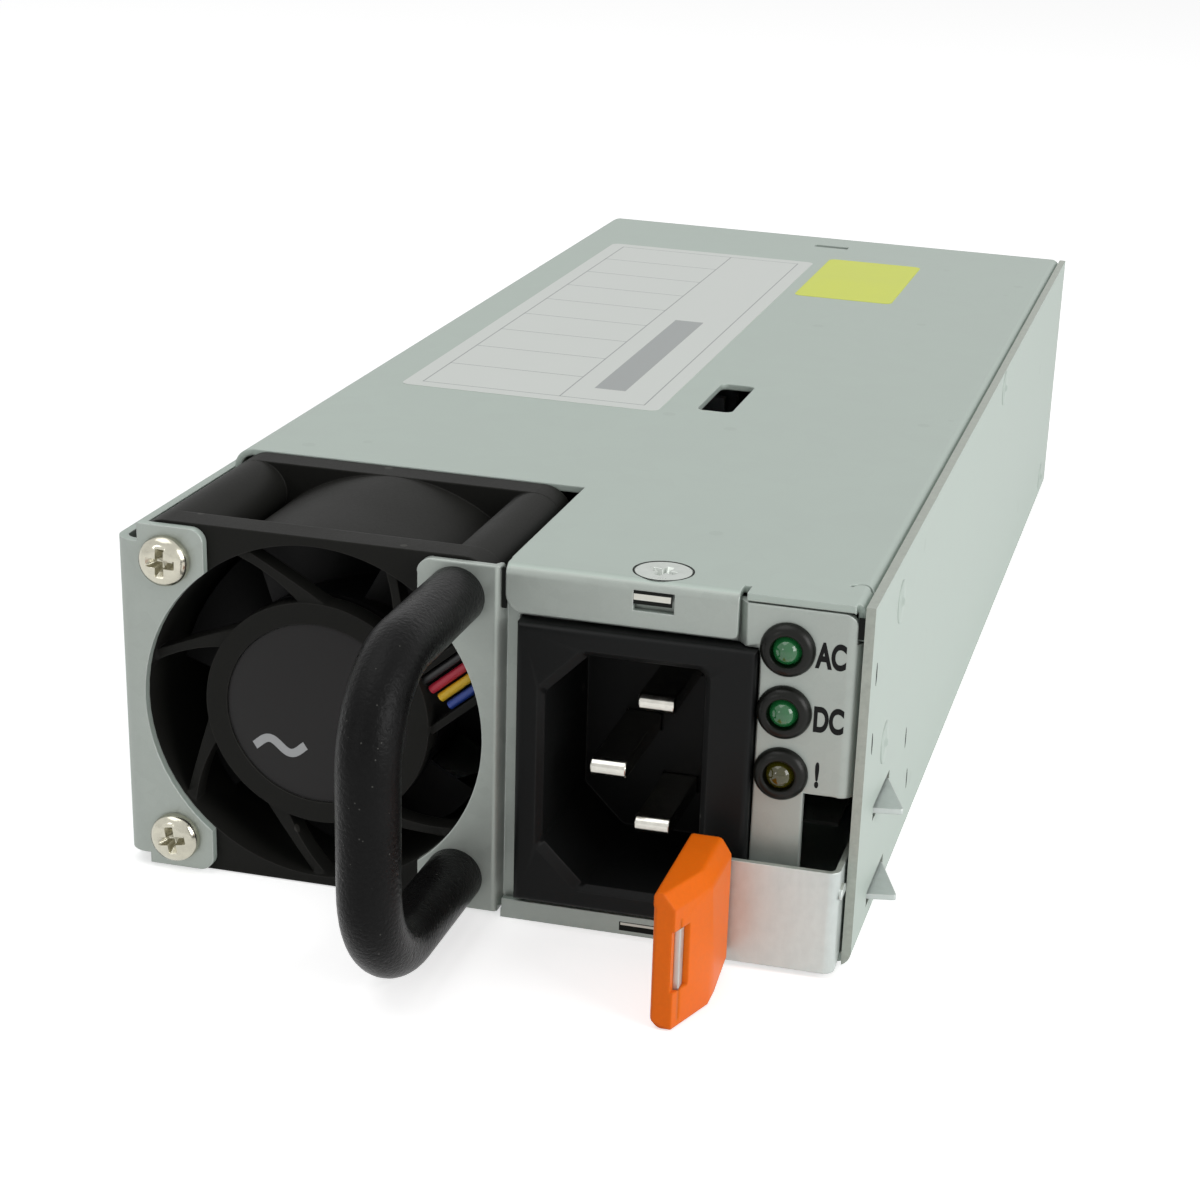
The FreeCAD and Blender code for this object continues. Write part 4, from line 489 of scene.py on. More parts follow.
def arcPoints(centre, radius, start, end, steps):
    # points of an arc in a profile, angles in degrees
    turns = [math.radians(start + (end - start) * i / steps) for i in range(steps + 1)]
    return [(centre[0] + radius * math.cos(turn), centre[1] + radius * math.sin(turn)) for turn in turns]


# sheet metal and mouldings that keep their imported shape, with eased edges
easing = {"segments": 2, "bend": 30.0, "merge": 2e-6}
# each node: its piece, width of the eased edge, shortest edge that is eased, finish and slot
easedParts = {
    "chassis": ("caseShell", 0.12, 0.0, "galvanised", "galvanised_case"),
    "top_cover": ("coverSheet", 0.12, 0.0, "galvanised", "galvanised_case"),
    "front_panel": ("frontPlate", 0.16, 3.0, "frontSheet", "galvanised_case"),
    "inlet_housing": ("inletShell", 0.25, 3.0, "blackPlastic", "black_plastic"),
    "fan_frame": ("fanHousing", 0.15, 3.0, "fanPlastic", "black_plastic"),
    "latch_spring": ("latchStrip", 0.06, 0.0, "springStrip", "spring_steel"),
    "latch_grip": ("latchGrip", 0.35, 7.0, "orangePlastic", "orange_plastic"),
    "line_pin": ("linePin", 0.25, 0.0, "pinMetal", "pin_metal"),
    "neutral_pin": ("neutralPin", 0.25, 0.0, "pinMetal", "pin_metal"),
    "earth_pin": ("earthPin", 0.25, 0.0, "pinMetal", "pin_metal"),
}


def softened(node, width, shortest):
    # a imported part's own shape, its sharp edges eased where they are longer than the shortest
    shape = bmesh.new()
    shape.from_mesh(nodes[node].data)
    bmesh.ops.remove_doubles(shape, verts=shape.verts, dist=easing["merge"])
    bmesh.ops.join_triangles(shape, faces=shape.faces, angle_face_threshold=math.radians(1),
                             angle_shape_threshold=math.pi)
    bmesh.ops.recalc_face_normals(shape, faces=shape.faces)
    bend = math.radians(easing["bend"])
    sharp = [edge for edge in shape.edges if len(edge.link_faces) == 2
             and edge.calc_length() > shortest * mm and edge.calc_face_angle(0) > bend]
    bmesh.ops.bevel(shape, geom=sharp, offset=width * mm, segments=easing["segments"], profile=0.5,
                    affect="EDGES", clamp_overlap=True)
    mesh = meshOf(shape, node, easing["bend"])
    return applied(mesh, node, ("WEIGHTED_NORMAL", dict(mode="FACE_AREA", weight=100, keep_sharp=True)))


def markFaces(piece, finish, test):
    # gives the faces that pass the test a second finish
    mesh = piece.data
    mesh.materials.append(finishes[finish])
    for face in mesh.polygons:
        if test((face.center - corner) / mm, face.normal):
            face.material_index = len(mesh.materials) - 1


eased = {}
for node, (name, width, shortest, finish, slot) in easedParts.items():
    eased[node] = addPiece(name, softened(node, width, shortest), finish, [node], bodyOf[node])
print("eased parts:", len(eased))

# sheared edges of the strip and of the right wall; then the front-facing faces of the lips and of the flange
# beside the fan take the front's darker finish, as painted shade
sheared = {"strip": 0.9, "wall": 1.2, "wallEnd": 190.0, "lipDeep": 1.2, "lipEnd": 72.0}
caseHigh = sizeOf("chassis")[1]
markFaces(eased["latch_spring"], "shearedEdge",
          lambda spot, way: abs(way.z) > 0.8 and spot.x < caseHigh.x - sheared["strip"])
markFaces(eased["chassis"], "shearedEdge",
          lambda spot, way: (way.y < -0.8 or way.z > 0.8) and spot.x > caseHigh.x - sheared["wall"]
          and spot.y < sheared["wallEnd"])
# the lips are the same sheet as the cover and chassis; the darker finish on their front faces is painted
# shade
for node in ("chassis", "top_cover"):
    markFaces(eased[node], "frontSheet",
              lambda spot, way: way.y < -0.6 and spot.y < sheared["lipDeep"] and spot.x < sheared["lipEnd"])

# fan wheel: a hub and twisted blades
fan = {"blades": 7, "hubRadius": 12.3, "hubWall": 0.8, "hubFloor": 1.6, "hubRound": 1.2, "rootSunk": 0.4,
       "tipRadius": 18.2, "rootTurn": 38.0, "tipTurn": 52.0, "bladeThick": 0.9, "camber": 0.1,
       "chordAtRoot": 0.97, "chordLoss": 0.15, "stations": 9, "along": 12}
fanMiddle = middleOf("fan_rotor")
hubSpan = 2 * (sizeOf("fan_rotor")[1].y - fanMiddle.y)
forward, backward, upward = Vector((0, -1, 0)), Vector((0, 1, 0)), Vector((0, 0, 1))


def bladeMesh():
    # one blade, from the hub to the tip, on the +Z side of the axis
    shape = bmesh.new()
    loops = []
    root = fan["hubRadius"] - fan["rootSunk"]
    for station in range(fan["stations"] + 1):
        share = station / fan["stations"]
        radius = root + (fan["tipRadius"] - root) * share
        turn = math.radians(fan["rootTurn"] + (fan["tipTurn"] - fan["rootTurn"]) * share)
        chord = (hubSpan - fan["hubFloor"]) / math.cos(turn) * (fan["chordAtRoot"] - fan["chordLoss"] * share)
        way = Vector((math.sin(turn), math.cos(turn), 0))
        side = Vector((math.cos(turn), -math.sin(turn), 0))
        loop = []
        for k in range(2 * fan["along"]):
            around = k / fan["along"]
            place = 0.5 - around if around <= 1 else around - 1.5
            face = -1 if around <= 1 else 1
            bow = chord * fan["camber"] * (1 - 4 * place * place)
            half = fan["bladeThick"] / 2 * (1.1 - 3.6 * place * place) * face
            flat = way * (chord * place) + side * (bow + half)
            spin = flat.x / radius  # wraps the section round the axis
            loop.append(at(fanMiddle.x + radius * math.sin(spin), fanMiddle.y + flat.y,
                           fanMiddle.z + radius * math.cos(spin)))
        loops.append(loop)
    joinLoops(shape, loops)
    return meshOf(shape, "blade", 60)


def paintedCopies(tree, copies, finish, result):
    # every tree of copies ends so: made real, then painted
    real = addNode(tree, "GeometryNodeRealizeInstances", {0: copies})
    painted = addNode(tree, "GeometryNodeSetMaterial", {"Geometry": real.outputs[0], "Material": finish})
    return endTree(tree, result, Geometry=painted.outputs[0])


def turnedCopiesTree():
    # copies of a shape turned evenly round the fan's axis
    tree, given, result = startTree("GeometryNodeTree", "turnedCopies", {
        "Geometry": "Geometry", "Count": "Int", "Centre": "Vector", "Finish": "Material"},
        {"Geometry": "Geometry"})
    line = addNode(tree, "GeometryNodeMeshLine", {"Offset": (0, 0, 0), "Count": given["Count"]})
    back = addNode(tree, "ShaderNodeVectorMath", {0: given["Centre"], "Scale": -1.0}, operation="SCALE")
    moved = addNode(tree, "GeometryNodeTransform", {"Geometry": given["Geometry"],
                                                    "Translation": back.outputs[0]})
    step = addMath(tree, "DIVIDE", 2 * math.pi, given["Count"])
    index = tree.nodes.new("GeometryNodeInputIndex").outputs[0]
    turn = addNode(tree, "ShaderNodeCombineXYZ", {"Y": addMath(tree, "MULTIPLY", index, step)})
    copies = addNode(tree, "GeometryNodeInstanceOnPoints", {
        "Points": line.outputs[0], "Instance": moved.outputs[0], "Rotation": turn.outputs[0]})
    home = addNode(tree, "GeometryNodeTransform", {"Geometry": copies.outputs[0],
                                                   "Translation": given["Centre"]})
    return paintedCopies(tree, home.outputs[0], given["Finish"], result)


def makeRotor():
    centre = at(*fanMiddle)
    blades = grown(bladeMesh(), "fanBlades", turnedCopiesTree(),
                   {"Count": fan["blades"], "Centre": centre, "Finish": finishes["bladePlastic"]})
    radius, half, rounding = fan["hubRadius"], hubSpan / 2, fan["hubRound"]
    inner, floor = radius - fan["hubWall"], half - fan["hubFloor"]
    profile = [(inner, -half), (radius, -half)]
    profile += arcPoints((radius - rounding, half - rounding), rounding, 0, 90, 6)
    profile += [(0, half), (0, floor), (inner, floor), (inner, -half)]
    shape = lathe(profile, centre, backward, 72)
    shape.from_mesh(blades)
    addPiece("fanWheel", shape, "bladePlastic", ["fan_rotor"], "rotor")


makeRotor()

cup = {"wall": 0.7, "lip": 0.3}


def makeYoke():
    # steel cup that lines the hub, its rolled lip left bright
    low, high = sizeOf("rotor_yoke")
    outer, length, lip = (high.x - low.x) / 2, high.y - low.y, cup["lip"]
    inner = outer - cup["wall"]
    profile = [(inner, length), (outer, length)]
    profile += arcPoints((outer - lip, lip), lip, 0, -90, 5)
    profile += arcPoints((inner + lip, lip), lip, -90, -180, 5)
    profile += [(inner, length)]
    shape = lathe(profile, at(fanMiddle.x, low.y, fanMiddle.z), backward, 72)
    addPiece("hubCup", shape, "cupSteel", ["rotor_yoke"], "rotor")


makeYoke()

# four wires that lie in the trough, then run behind the housing to the plug
fanLow, fanHigh = sizeOf("fan_frame")
fanFace = fanLow.y + 0.3  # the face of the housing, a little behind its foremost point
wires = {"radius": 0.5, "pitch": 1.25, "behindFace": 1.5, "root": 14.0, "tilt": 40.0, "hub": 12.6,
         "begin": 0.5, "stagger": 0.3, "waypoints": (0.35, 0.75), "laneTurn": 0.8, "laneRun": 12.0,
         "plugPitch": 2.0, "sag": 2.0, "rounding": 6, "colours": ("black", "red", "yellow", "blue")}


def tubeAlong(points, name):
    # smooth round wire along a control line
    line = bpy.data.curves.new(name, "CURVE")
    line.dimensions = "3D"
    line.bevel_depth = wires["radius"] * mm
    line.bevel_resolution = wires["rounding"]
    line.use_fill_caps = True
    line.resolution_u = 8
    spline = line.splines.new("NURBS")
    spline.points.add(len(points) - 1)
    for point, place in zip(spline.points, points):
        point.co = (*place, 1.0)
    spline.order_u = 3
    spline.use_endpoint_u = True
    return plainMesh(linked(name, line), name)


def makeFanWires():
    laneX = (fanHigh.x + sizeOf("inlet_housing")[0].x) / 2
    laneY = fanFace + wires["behindFace"]
    plug, plugTop = middleOf("fan_plug"), sizeOf("fan_plug")[1].z
    root, tilt = math.radians(wires["root"]), math.radians(wires["tilt"])
    way = Vector((math.cos(tilt), 0, math.sin(tilt)))
    side = Vector((-math.sin(tilt), 0, math.cos(tilt)))
    hub = Vector((fanMiddle.x + wires["hub"] * math.cos(root), laneY,
                  fanMiddle.z + wires["hub"] * math.sin(root)))
    for index, colour in enumerate(wires["colours"]):
        lane = hub + side * wires["pitch"] * (1.5 - index)
        reach = (laneX - lane.x) / way.x
        z = lane.z + way.z * reach
        across = plug.x + wires["plugPitch"] * (index - 1.5)
        route = [at(*(lane + way * (wires["begin"] + wires["stagger"] * index)))]
        route += [at(*(lane + way * reach * share)) for share in wires["waypoints"]]
        route += [at(laneX, y, z) for y in (laneY + wires["laneTurn"], laneY + wires["laneRun"], fanHigh.y)]
        route += [at(across, plug.y, z - wires["sag"]), at(across, plug.y, plugTop)]
        name, node = "fanWire" + colour.title(), "fan_wire_" + colour
        addPiece(name, tubeAlong(route, name), "wire" + colour.title(), [node])


makeFanWires()

disc = {"radius": 10.2, "thick": 0.2, "step": 0.35, "edge": (0.15, 0.06)}


def makeHubDisc():
    radius, thick = disc["radius"], disc["thick"]
    across, down = disc["edge"]
    profile = [(0, thick), (radius - across, thick), (radius, thick - down), (radius, 0), (0, 0)]
    shape = lathe(profile, at(fanMiddle.x, fanFace + disc["step"], fanMiddle.z), forward, 96)
    addPiece("motorDisc", shape, "hubDisc", smooth=35)


makeHubDisc()

wave = {"left": 14.9, "height": 15.9, "length": 5.8, "swing": 0.72, "stroke": 0.95, "steps": 28,
        "turns": 1.16, "early": 0.08, "slope": 5.9, "proud": 0.015, "sunk": 0.02}


def makeWaveMark():
    # the plain alternating current sign printed on the disc
    ink = fanFace + disc["step"] - disc["thick"] - wave["proud"]
    loops = []
    for i in range(wave["steps"] + 1):
        share = i / wave["steps"]
        turn = 2 * math.pi * (share * wave["turns"] - wave["early"])
        x = wave["left"] + wave["length"] * share
        z = wave["height"] + wave["swing"] * math.sin(turn)
        slope = Vector((wave["length"] / wave["slope"], 0, wave["swing"] * math.cos(turn))).normalized()
        across = Vector((-slope.z, 0, slope.x)) * wave["stroke"] / 2
        loops.append([at(*(Vector((x, ink + y, z)) + across * way))
                      for y, way in ((0, 1), (0, -1), (wave["sunk"], -1), (wave["sunk"], 1))])
    shape = bmesh.new()
    joinLoops(shape, loops)
    addPiece("waveMark", shape, "markInk", smooth=30)


makeWaveMark()
print("fan made")

# handle: a round rod with two even bends
handle = {"bend": 10.0, "sides": 48, "bendSteps": 14}


def makeHandle():
    low, high = sizeOf("handle_bar")
    radius, bend = (high.x - low.x) / 2, handle["bend"]
    x, reach = low.x + radius, low.y + radius
    top, bottom = high.z - radius, low.z + radius
    path = [(Vector((x, 0, top)), forward)]
    for start, z in ((0, top - bend), (90, bottom + bend)):
        centre = Vector((x, reach + bend, z))
        for i in range(handle["bendSteps"] + 1):
            turn = math.radians(start + 90 * i / handle["bendSteps"])
            spot = Vector((0, -math.sin(turn), math.cos(turn)))
            path.append((centre + spot * bend, Vector((0, -math.cos(turn), -math.sin(turn)))))
    path.append((Vector((x, 0, bottom)), backward))
    turns = [2 * math.pi * i / handle["sides"] for i in range(handle["sides"])]
    loops = []
    for spot, way in path:
        up = way.cross(Vector((1, 0, 0))).normalized()
        loops.append([at(*(spot + (Vector((math.cos(turn), 0, 0)) + up * math.sin(turn)) * radius))
                      for turn in turns])
    shape = bmesh.new()
    joinLoops(shape, loops)
    addPiece("handleRod", shape, "handleCoat", ["handle_bar"], smooth=50)


makeHandle()

# screws: blanks with a cross recess, placed by a tree
screw = {"headRadius": 2.75, "headHeight": 1.7,
         "crown": ((0.5, 0.06), (0.78, 0.28), (0.95, 0.66), (1.0, 1.1)),
         "rim": 0.12, "rimCut": 0.1, "shank": 1.45, "shankEnd": -9.0, "point": (1.1, 0.4),
         "recessWidth": 1.1, "recessReach": 1.9, "recessDeep": 1.5, "recessTaper": 0.45, "recessOver": 0.4,
         "edge": 0.05, "countersink": 3.05, "countersinkDeep": 1.6, "flushEdge": (0.12, 0.1)}
boardScrew = {"high": 1.7, "profile": ((0, 1.7), (2.0, 1.5), (2.6, 0.8), (2.75, 0.2), (2.7, 0), (1.4, 0),
                                       (1.4, -4.2), (0, -4.2))}
screwGap = {"inside": 0.02, "outside": 0.16, "sunk": 0.02, "proud": 0.012}


def crossCutter(deep, top):
    # tapered cross that leaves a driver recess
    shape = bmesh.new()
    for turn in (0, math.pi / 2):
        spin = Matrix.Rotation(turn, 3, "Z")
        rings = []
        for z, scale in ((top + screw["recessOver"], 1.0), (top - deep, screw["recessTaper"])):
            long, wide = screw["recessReach"] * scale, screw["recessWidth"] / 2 * scale
            rings.append([shape.verts.new(spin @ Vector((sx * long, sy * wide, z)) * mm)
                          for sx, sy in ((-1, -1), (1, -1), (1, 1), (-1, 1))])
        upper, lower = rings
        shape.faces.new(upper)
        shape.faces.new(lower[::-1])
        for i in range(4):
            j = (i + 1) % 4
            shape.faces.new((upper[j], upper[i], lower[i], lower[j]))
    bmesh.ops.recalc_face_normals(shape, faces=shape.faces)
    return unshaded(shape, "recess")


def screwBlank(name, profile, top, recess=1.0):
    # head and shank along +Z with the seat at zero; the recess is given as a share of its full depth
    body = meshOf(lathe(profile, Vector((0, 0, 0)), upward, 40), name, 35)
    cutter = linked("recess", crossCutter(screw["recessDeep"] * recess, top))
    cut = dict(operation="DIFFERENCE", solver="EXACT", use_self=True, object=cutter)
    edge = dict(width=screw["edge"] * mm, segments=2, limit_method="ANGLE", angle_limit=math.radians(40),
                use_clamp_overlap=True)
    mesh = applied(body, name, ("BOOLEAN", cut), ("BEVEL", edge))
    bpy.data.objects.remove(cutter)
    mesh.shade_smooth()
    mesh.set_sharp_from_angle(angle=math.radians(35))
    return mesh


def placedCopiesTree():
    # a shape set on each point, its +Z turned along Facing and spun by a seeded amount
    tree, given, result = startTree("GeometryNodeTree", "placedCopies", {
        "Geometry": "Geometry", "Shape": "Object", "Facing": "Vector", "Spin": "Float", "Seed": "Int",
        "Finish": "Material"}, {"Geometry": "Geometry"})
    source = addNode(tree, "GeometryNodeObjectInfo", {"Object": given["Shape"]})
    facing = addNode(tree, "FunctionNodeAlignRotationToVector", {"Vector": given["Facing"]}, axis="Z")
    lowest = addMath(tree, "MULTIPLY", given["Spin"], -1.0)
    chance = addNode(tree, "FunctionNodeRandomValue", {2: lowest, 3: given["Spin"], "Seed": given["Seed"]},
                     data_type="FLOAT")
    spin = addNode(tree, "FunctionNodeAxisAngleToRotation", {"Axis": (0, 0, 1), "Angle": chance.outputs[1]})
    both = addNode(tree, "FunctionNodeRotateRotation", {0: facing.outputs[0], 1: spin.outputs[0]},
                   rotation_space="LOCAL")
    copies = addNode(tree, "GeometryNodeInstanceOnPoints", {
        "Points": given["Geometry"], "Instance": source.outputs["Geometry"], "Rotation": both.outputs[0]})
    return paintedCopies(tree, copies.outputs[0], given["Finish"], result)


copyTree = placedCopiesTree()


def placeCopies(name, blank, points, facing, finish, replaced=(), spin=3.0, seed=4):
    spots = bpy.data.meshes.new(name + "Spots")
    spots.from_pydata([tuple(p) for p in points], [], [])
    source = linked(name + "Blank", blank)
    mesh = grown(spots, name, copyTree, {"Shape": source, "Facing": facing, "Spin": spin, "Seed": seed,
                                         "Finish": finishes[finish]})
    bpy.data.objects.remove(source)
    addPiece(name, mesh, None, replaced)


def boardScrewPlaces():
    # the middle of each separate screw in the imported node
    shape = bmesh.new()
    shape.from_mesh(nodes["board_screws"].data)
    bmesh.ops.remove_doubles(shape, verts=shape.verts, dist=easing["merge"])
    seen, places = set(), []
    for start in shape.verts:
        if start in seen:
            continue
        group = [start]
        seen.add(start)
        for vert in group:
            touching = {edge.other_vert(vert) for edge in vert.link_edges} - seen
            seen |= touching
            group += touching
        spots = [(vert.co - corner) / mm for vert in group]
        places.append([(min(s[k] for s in spots) + max(s[k] for s in spots)) / 2 for k in (0, 1)])
    shape.free()
    return places


def makeScrews():
    radius, height, shank = screw["headRadius"], screw["headHeight"], screw["shank"]
    end, (point, taper) = screw["shankEnd"], screw["point"]
    pan = [(0, height)] + [(radius * share, height - drop) for share, drop in screw["crown"]]
    pan += [(radius, screw["rim"]), (radius - screw["rimCut"], 0)]
    pan += [(shank, 0), (shank, end + taper), (point, end), (0, end)]
    panBlank = screwBlank("panScrew", pan, height)
    low, high = sizeOf("fan_screws")
    spots = [at(middleOf("fan_screws").x, 0, z) for z in (low.z + radius, high.z - radius)]
    placeCopies("fanScrews", panBlank, spots, forward, "nickel", ["fan_screws"],
                spin=0.35, seed=7)
    small = screwBlank("boardScrew", boardScrew["profile"], boardScrew["high"])
    boardTop = sizeOf("main_board")[1].z
    spots = [at(x, y, boardTop) for x, y in boardScrewPlaces()]
    placeCopies("boardScrews", small, spots, upward, "nickel", ["board_screws"], seed=3)
    low, high = sizeOf("cover_screw")
    wide, end = screw["countersink"], low.z - high.z
    across, down = screw["flushEdge"]
    flush = [(0, 0), (wide - across, 0), (wide, -down), (shank, -screw["countersinkDeep"]),
             (shank, end + 0.1), (0, end)]
    spot = at(*middleOf("cover_screw").xy, high.z)
    placeCopies("coverScrew", screwBlank("flushScrew", flush, 0, 0.5), [spot], upward, "flushNickel",
                ["cover_screw"], spin=0.6, seed=2)
    # the gap round the head is a dark ring of painted shade, a hair above the sheet
    inner, outer = wide - screwGap["inside"], wide + screwGap["outside"]
    under, over = -screwGap["sunk"], screwGap["proud"]
    ring = lathe([(inner, under), (inner, over), (outer, over), (outer, under), (inner, under)], spot,
                 upward, 64)
    addPiece("screwGap", ring, "shadowPit")


makeScrews()
print("screws made")

# indicators: domed bezels and coloured lenses, each lens with its two leads
lamp = {"bezel": 2.9, "proud": 1.1, "mouth": 1.62, "mouthDeep": -0.3, "lip": 0.3, "lipLow": 0.45,
        "dome": ((2.3, 0.1), (2.6, 0.32), (2.8, 0.65)), "foot": 0.15, "barrel": 2.5,
        "lens": 1.5, "nose": 1.55, "tail": -5.6, "leads": 1.27, "leadHalf": 0.25, "leadRun": (5.6, 8.0)}
lampParts = (("led_input", "inputLens", "greenLens", "green_lamp"),
             ("led_output", "outputLens", "greenLens", "green_lamp"),
             ("led_fault", "faultLens", "amberLens", "amber_lamp"))


def plainBar(shape, x, y, z):
    # a box given by its three ranges
    low, high = (at(x[end], y[end], z[end]) for end in (0, 1))
    matrix = Matrix.Translation((low + high) / 2) @ Matrix.Diagonal((*(high - low), 1))
    bmesh.ops.create_cube(shape, size=1.0, matrix=matrix)


def makeLamps():
    mouth, proud, lip, bezel = lamp["mouth"], lamp["proud"], lamp["lip"], lamp["bezel"]
    barrel, barrelEnd, lens = lamp["barrel"], -sizeOf("led_bezels")[1].y, lamp["lens"]
    rim = [(mouth, lamp["mouthDeep"]), (mouth, proud - lamp["lipLow"])]
    rim += arcPoints((mouth + lip, proud - lip), lip, 180, 80, 5)
    rim += [(radius, proud - drop) for radius, drop in lamp["dome"]]
    rim += [(bezel, lamp["foot"]), (bezel, 0), (barrel, 0), (barrel, barrelEnd), (mouth, barrelEnd)]
    rim += [(mouth, lamp["mouthDeep"])]
    drop = [(0, lamp["nose"])] + arcPoints((0, lamp["nose"] - lens), lens, 82, 0, 12)
    drop += [(lens, lamp["tail"]), (0, lamp["tail"])]
    bezels = bmesh.new()
    for node, name, finish, slot in lampParts:
        x, z, half = middleOf(node).x, middleOf(node).z, lamp["leadHalf"]
        bezels.from_mesh(unshaded(lathe(rim, at(x, 0, z), forward, 64), "rim"))
        glass = lathe(drop, at(x, 0, z), forward, 48)
        for lead in (x - lamp["leads"], x + lamp["leads"]):
            plainBar(glass, (lead - half, lead + half), lamp["leadRun"], (z - half, z + half))
        addPiece(name, glass, finish, [node])
    addPiece("lampBezels", bezels, "bezelPlastic", ["led_bezels"])


makeLamps()

legends = {"size": 3.7, "squeeze": 0.6, "bold": 0.15, "thick": 0.02,
           "words": (("AC", "led_input", 76.3, -1.45), ("DC", "led_output", 76.3, -1.6),
                     ("!", "led_fault", 76.8, -0.95))}


def makeLegends():
    # short function words printed beside the lamps
    shape = bmesh.new()
    stand = Matrix.Rotation(math.radians(90), 4, "X") @ Matrix.Diagonal((legends["squeeze"], 1, 1, 1))
    for text, node, left, drop in legends["words"]:
        words = bpy.data.curves.new("legend", "FONT")
        words.body = text
        words.size = legends["size"] * mm
        words.extrude = legends["thick"] / 2 * mm
        words.offset = legends["bold"] * mm
        mesh = plainMesh(linked("legend", words), "legend")
        place = at(left, -legends["thick"] / 2, middleOf(node).z + drop)
        mesh.transform(Matrix.Translation(place) @ stand)
        shape.from_mesh(mesh)
    addPiece("lampLegends", unshaded(shape, "lampLegends"), "legendInk")


makeLegends()
print("indicators made")

# stickers on the cover, both bare; the white one has ruled lines and one shaded field
label = {"white": (8.4, 42.6, 64.8, 167.5), "yellow": (44.5, 59.8, 141.5, 172.0), "round": 1.2,
         "thick": 0.04, "sunk": 0.01}
rules = {"inset": 2.2, "line": 0.18, "rows": 9, "column": 0.62, "field": (0.72, 0.86, 0.06, 0.5),
         "half": 0.005}
labelTop = sizeOf("top_cover")[1].z


def makeLabels():
    for name, finish in (("white", "labelPaper"), ("yellow", "yellowPaper")):
        left, right, front, back = label[name]
        radius = label["round"]
        outline = []
        for x, y, start in ((right - radius, back - radius, 0), (left + radius, back - radius, 90),
                            (left + radius, front + radius, 180), (right - radius, front + radius, 270)):
            outline += arcPoints((x, y), radius, start, start + 90, 6)
        shape = bmesh.new()
        slab(shape, outline, labelTop - label["sunk"], labelTop + label["thick"])
        addPiece(name + "Label", shape, finish, smooth=30)


def makeLabelRules():
    inset, line, half = rules["inset"], rules["line"], rules["half"]
    left, right, front, back = [edge + way * inset for edge, way in zip(label["white"], (1, -1, 1, -1))]
    wide, deep = right - left, back - front
    column = left + wide * rules["column"]
    bars = [(left, right, front, front + line), (left, right, back - line, back),
            (left, left + line, front, back), (right - line, right, front, back),
            (column - line / 2, column + line / 2, front, back)]
    for i in range(1, rules["rows"]):
        y = front + deep * i / rules["rows"]
        bars.append((left, column, y - line / 2, y + line / 2))
    low, high, near, far = rules["field"]
    bars.append((left + wide * low, left + wide * high, front + deep * near, front + deep * far))
    top = labelTop + label["thick"]
    shape = bmesh.new()
    for x0, x1, y0, y1 in bars:
        slab(shape, ((x0, y0), (x1, y0), (x1, y1), (x0, y1)), top - half, top + half)
    addPiece("labelRules", unshaded(shape, "labelRules"), "labelRule")


makeLabels()
makeLabelRules()
print("labels made")

# pressed marks on the right wall, and short slits drawn as dark slivers of painted shade, each spot given as
# (y, z)
marks = {"dimples": ((17.9, 35.1), (13.1, 20.7), (106.6, 37.6), (180.5, 4.6)),
         "dimpleProfile": ((0, 0.416), (0.3, 0.368), (0.6, 0.144), (1.92, 0.128), (2.28, 0.096),
                           (2.4, 0), (2.4, -0.05), (0, -0.05)),
         "slits": ((3.4, 32.0), (3.9, 24.1), (30.3, 14.5), (34.0, 7.9)), "slitSteps": 20,
         "slitLength": 1.3, "slitWidth": 0.42, "slitPoint": 0.3, "slitBack": 0.6,
         "slitSunk": -0.05, "slitProud": 0.012}


def slitMesh():
    # a lens-shaped sliver, rounder on one side, dark with painted shade where a slit is
    outline = []
    for i in range(marks["slitSteps"]):
        turn = 2 * math.pi * i / marks["slitSteps"]
        across = math.cos(turn)
        width = marks["slitWidth"] * abs(across) ** marks["slitPoint"]
        outline.append((across * width * (1 if across > 0 else marks["slitBack"]),
                        math.sin(turn) * marks["slitLength"]))
    shape = bmesh.new()
    joinLoops(shape, [[Vector((x, y, z)) * mm for x, y in outline]
                      for z in (marks["slitSunk"], marks["slitProud"])])
    mesh = meshOf(shape, "slit", 40)
    mesh.transform(Matrix.Rotation(math.radians(90), 4, "Z"))
    return mesh


def makeWallMarks():
    dimple = meshOf(lathe(marks["dimpleProfile"], Vector((0, 0, 0)), upward, 36), "dimple", 60)
    for name, blank, spots, finish, spin, seed in (
            ("wallDimples", dimple, marks["dimples"], "galvanised", 0.0, 4),
            ("wallSlits", slitMesh(), marks["slits"], "shadowPit", 0.12, 5)):
        points = [at(caseHigh.x, y, z) for y, z in spots]
        placeCopies(name, blank, points, (1, 0, 0), finish, spin=spin, seed=seed)


makeWallMarks()

# the front panel's catches are drawn in the lips' slots as bright bars of painted highlight over dark blocks
# of painted shade, and the narrow gaps beside the plates are dark bars of painted shade
catches = {"lip": dict(x=(56.9, 61.1), z=(37.62, 39.2), bright=(38.06, 38.72), face=0.03),
           "floor": dict(x=(56.7, 60.9), z=(0.45, 1.5), bright=(1.12, 1.42), face=-0.005)}
catchBar = {"inset": 0.15, "proud": 0.02, "deep": 0.05, "darkDeep": 0.1, "round": 0.01}
shadowGaps = {"besideLip": dict(x=(43.0, 43.52), y=(0.3, 0.5), z=(35.3, 39.7)),
              "besidePlate": dict(x=(80.3, 80.9), y=(0.35, 0.5), z=(36.6, 38.9))}


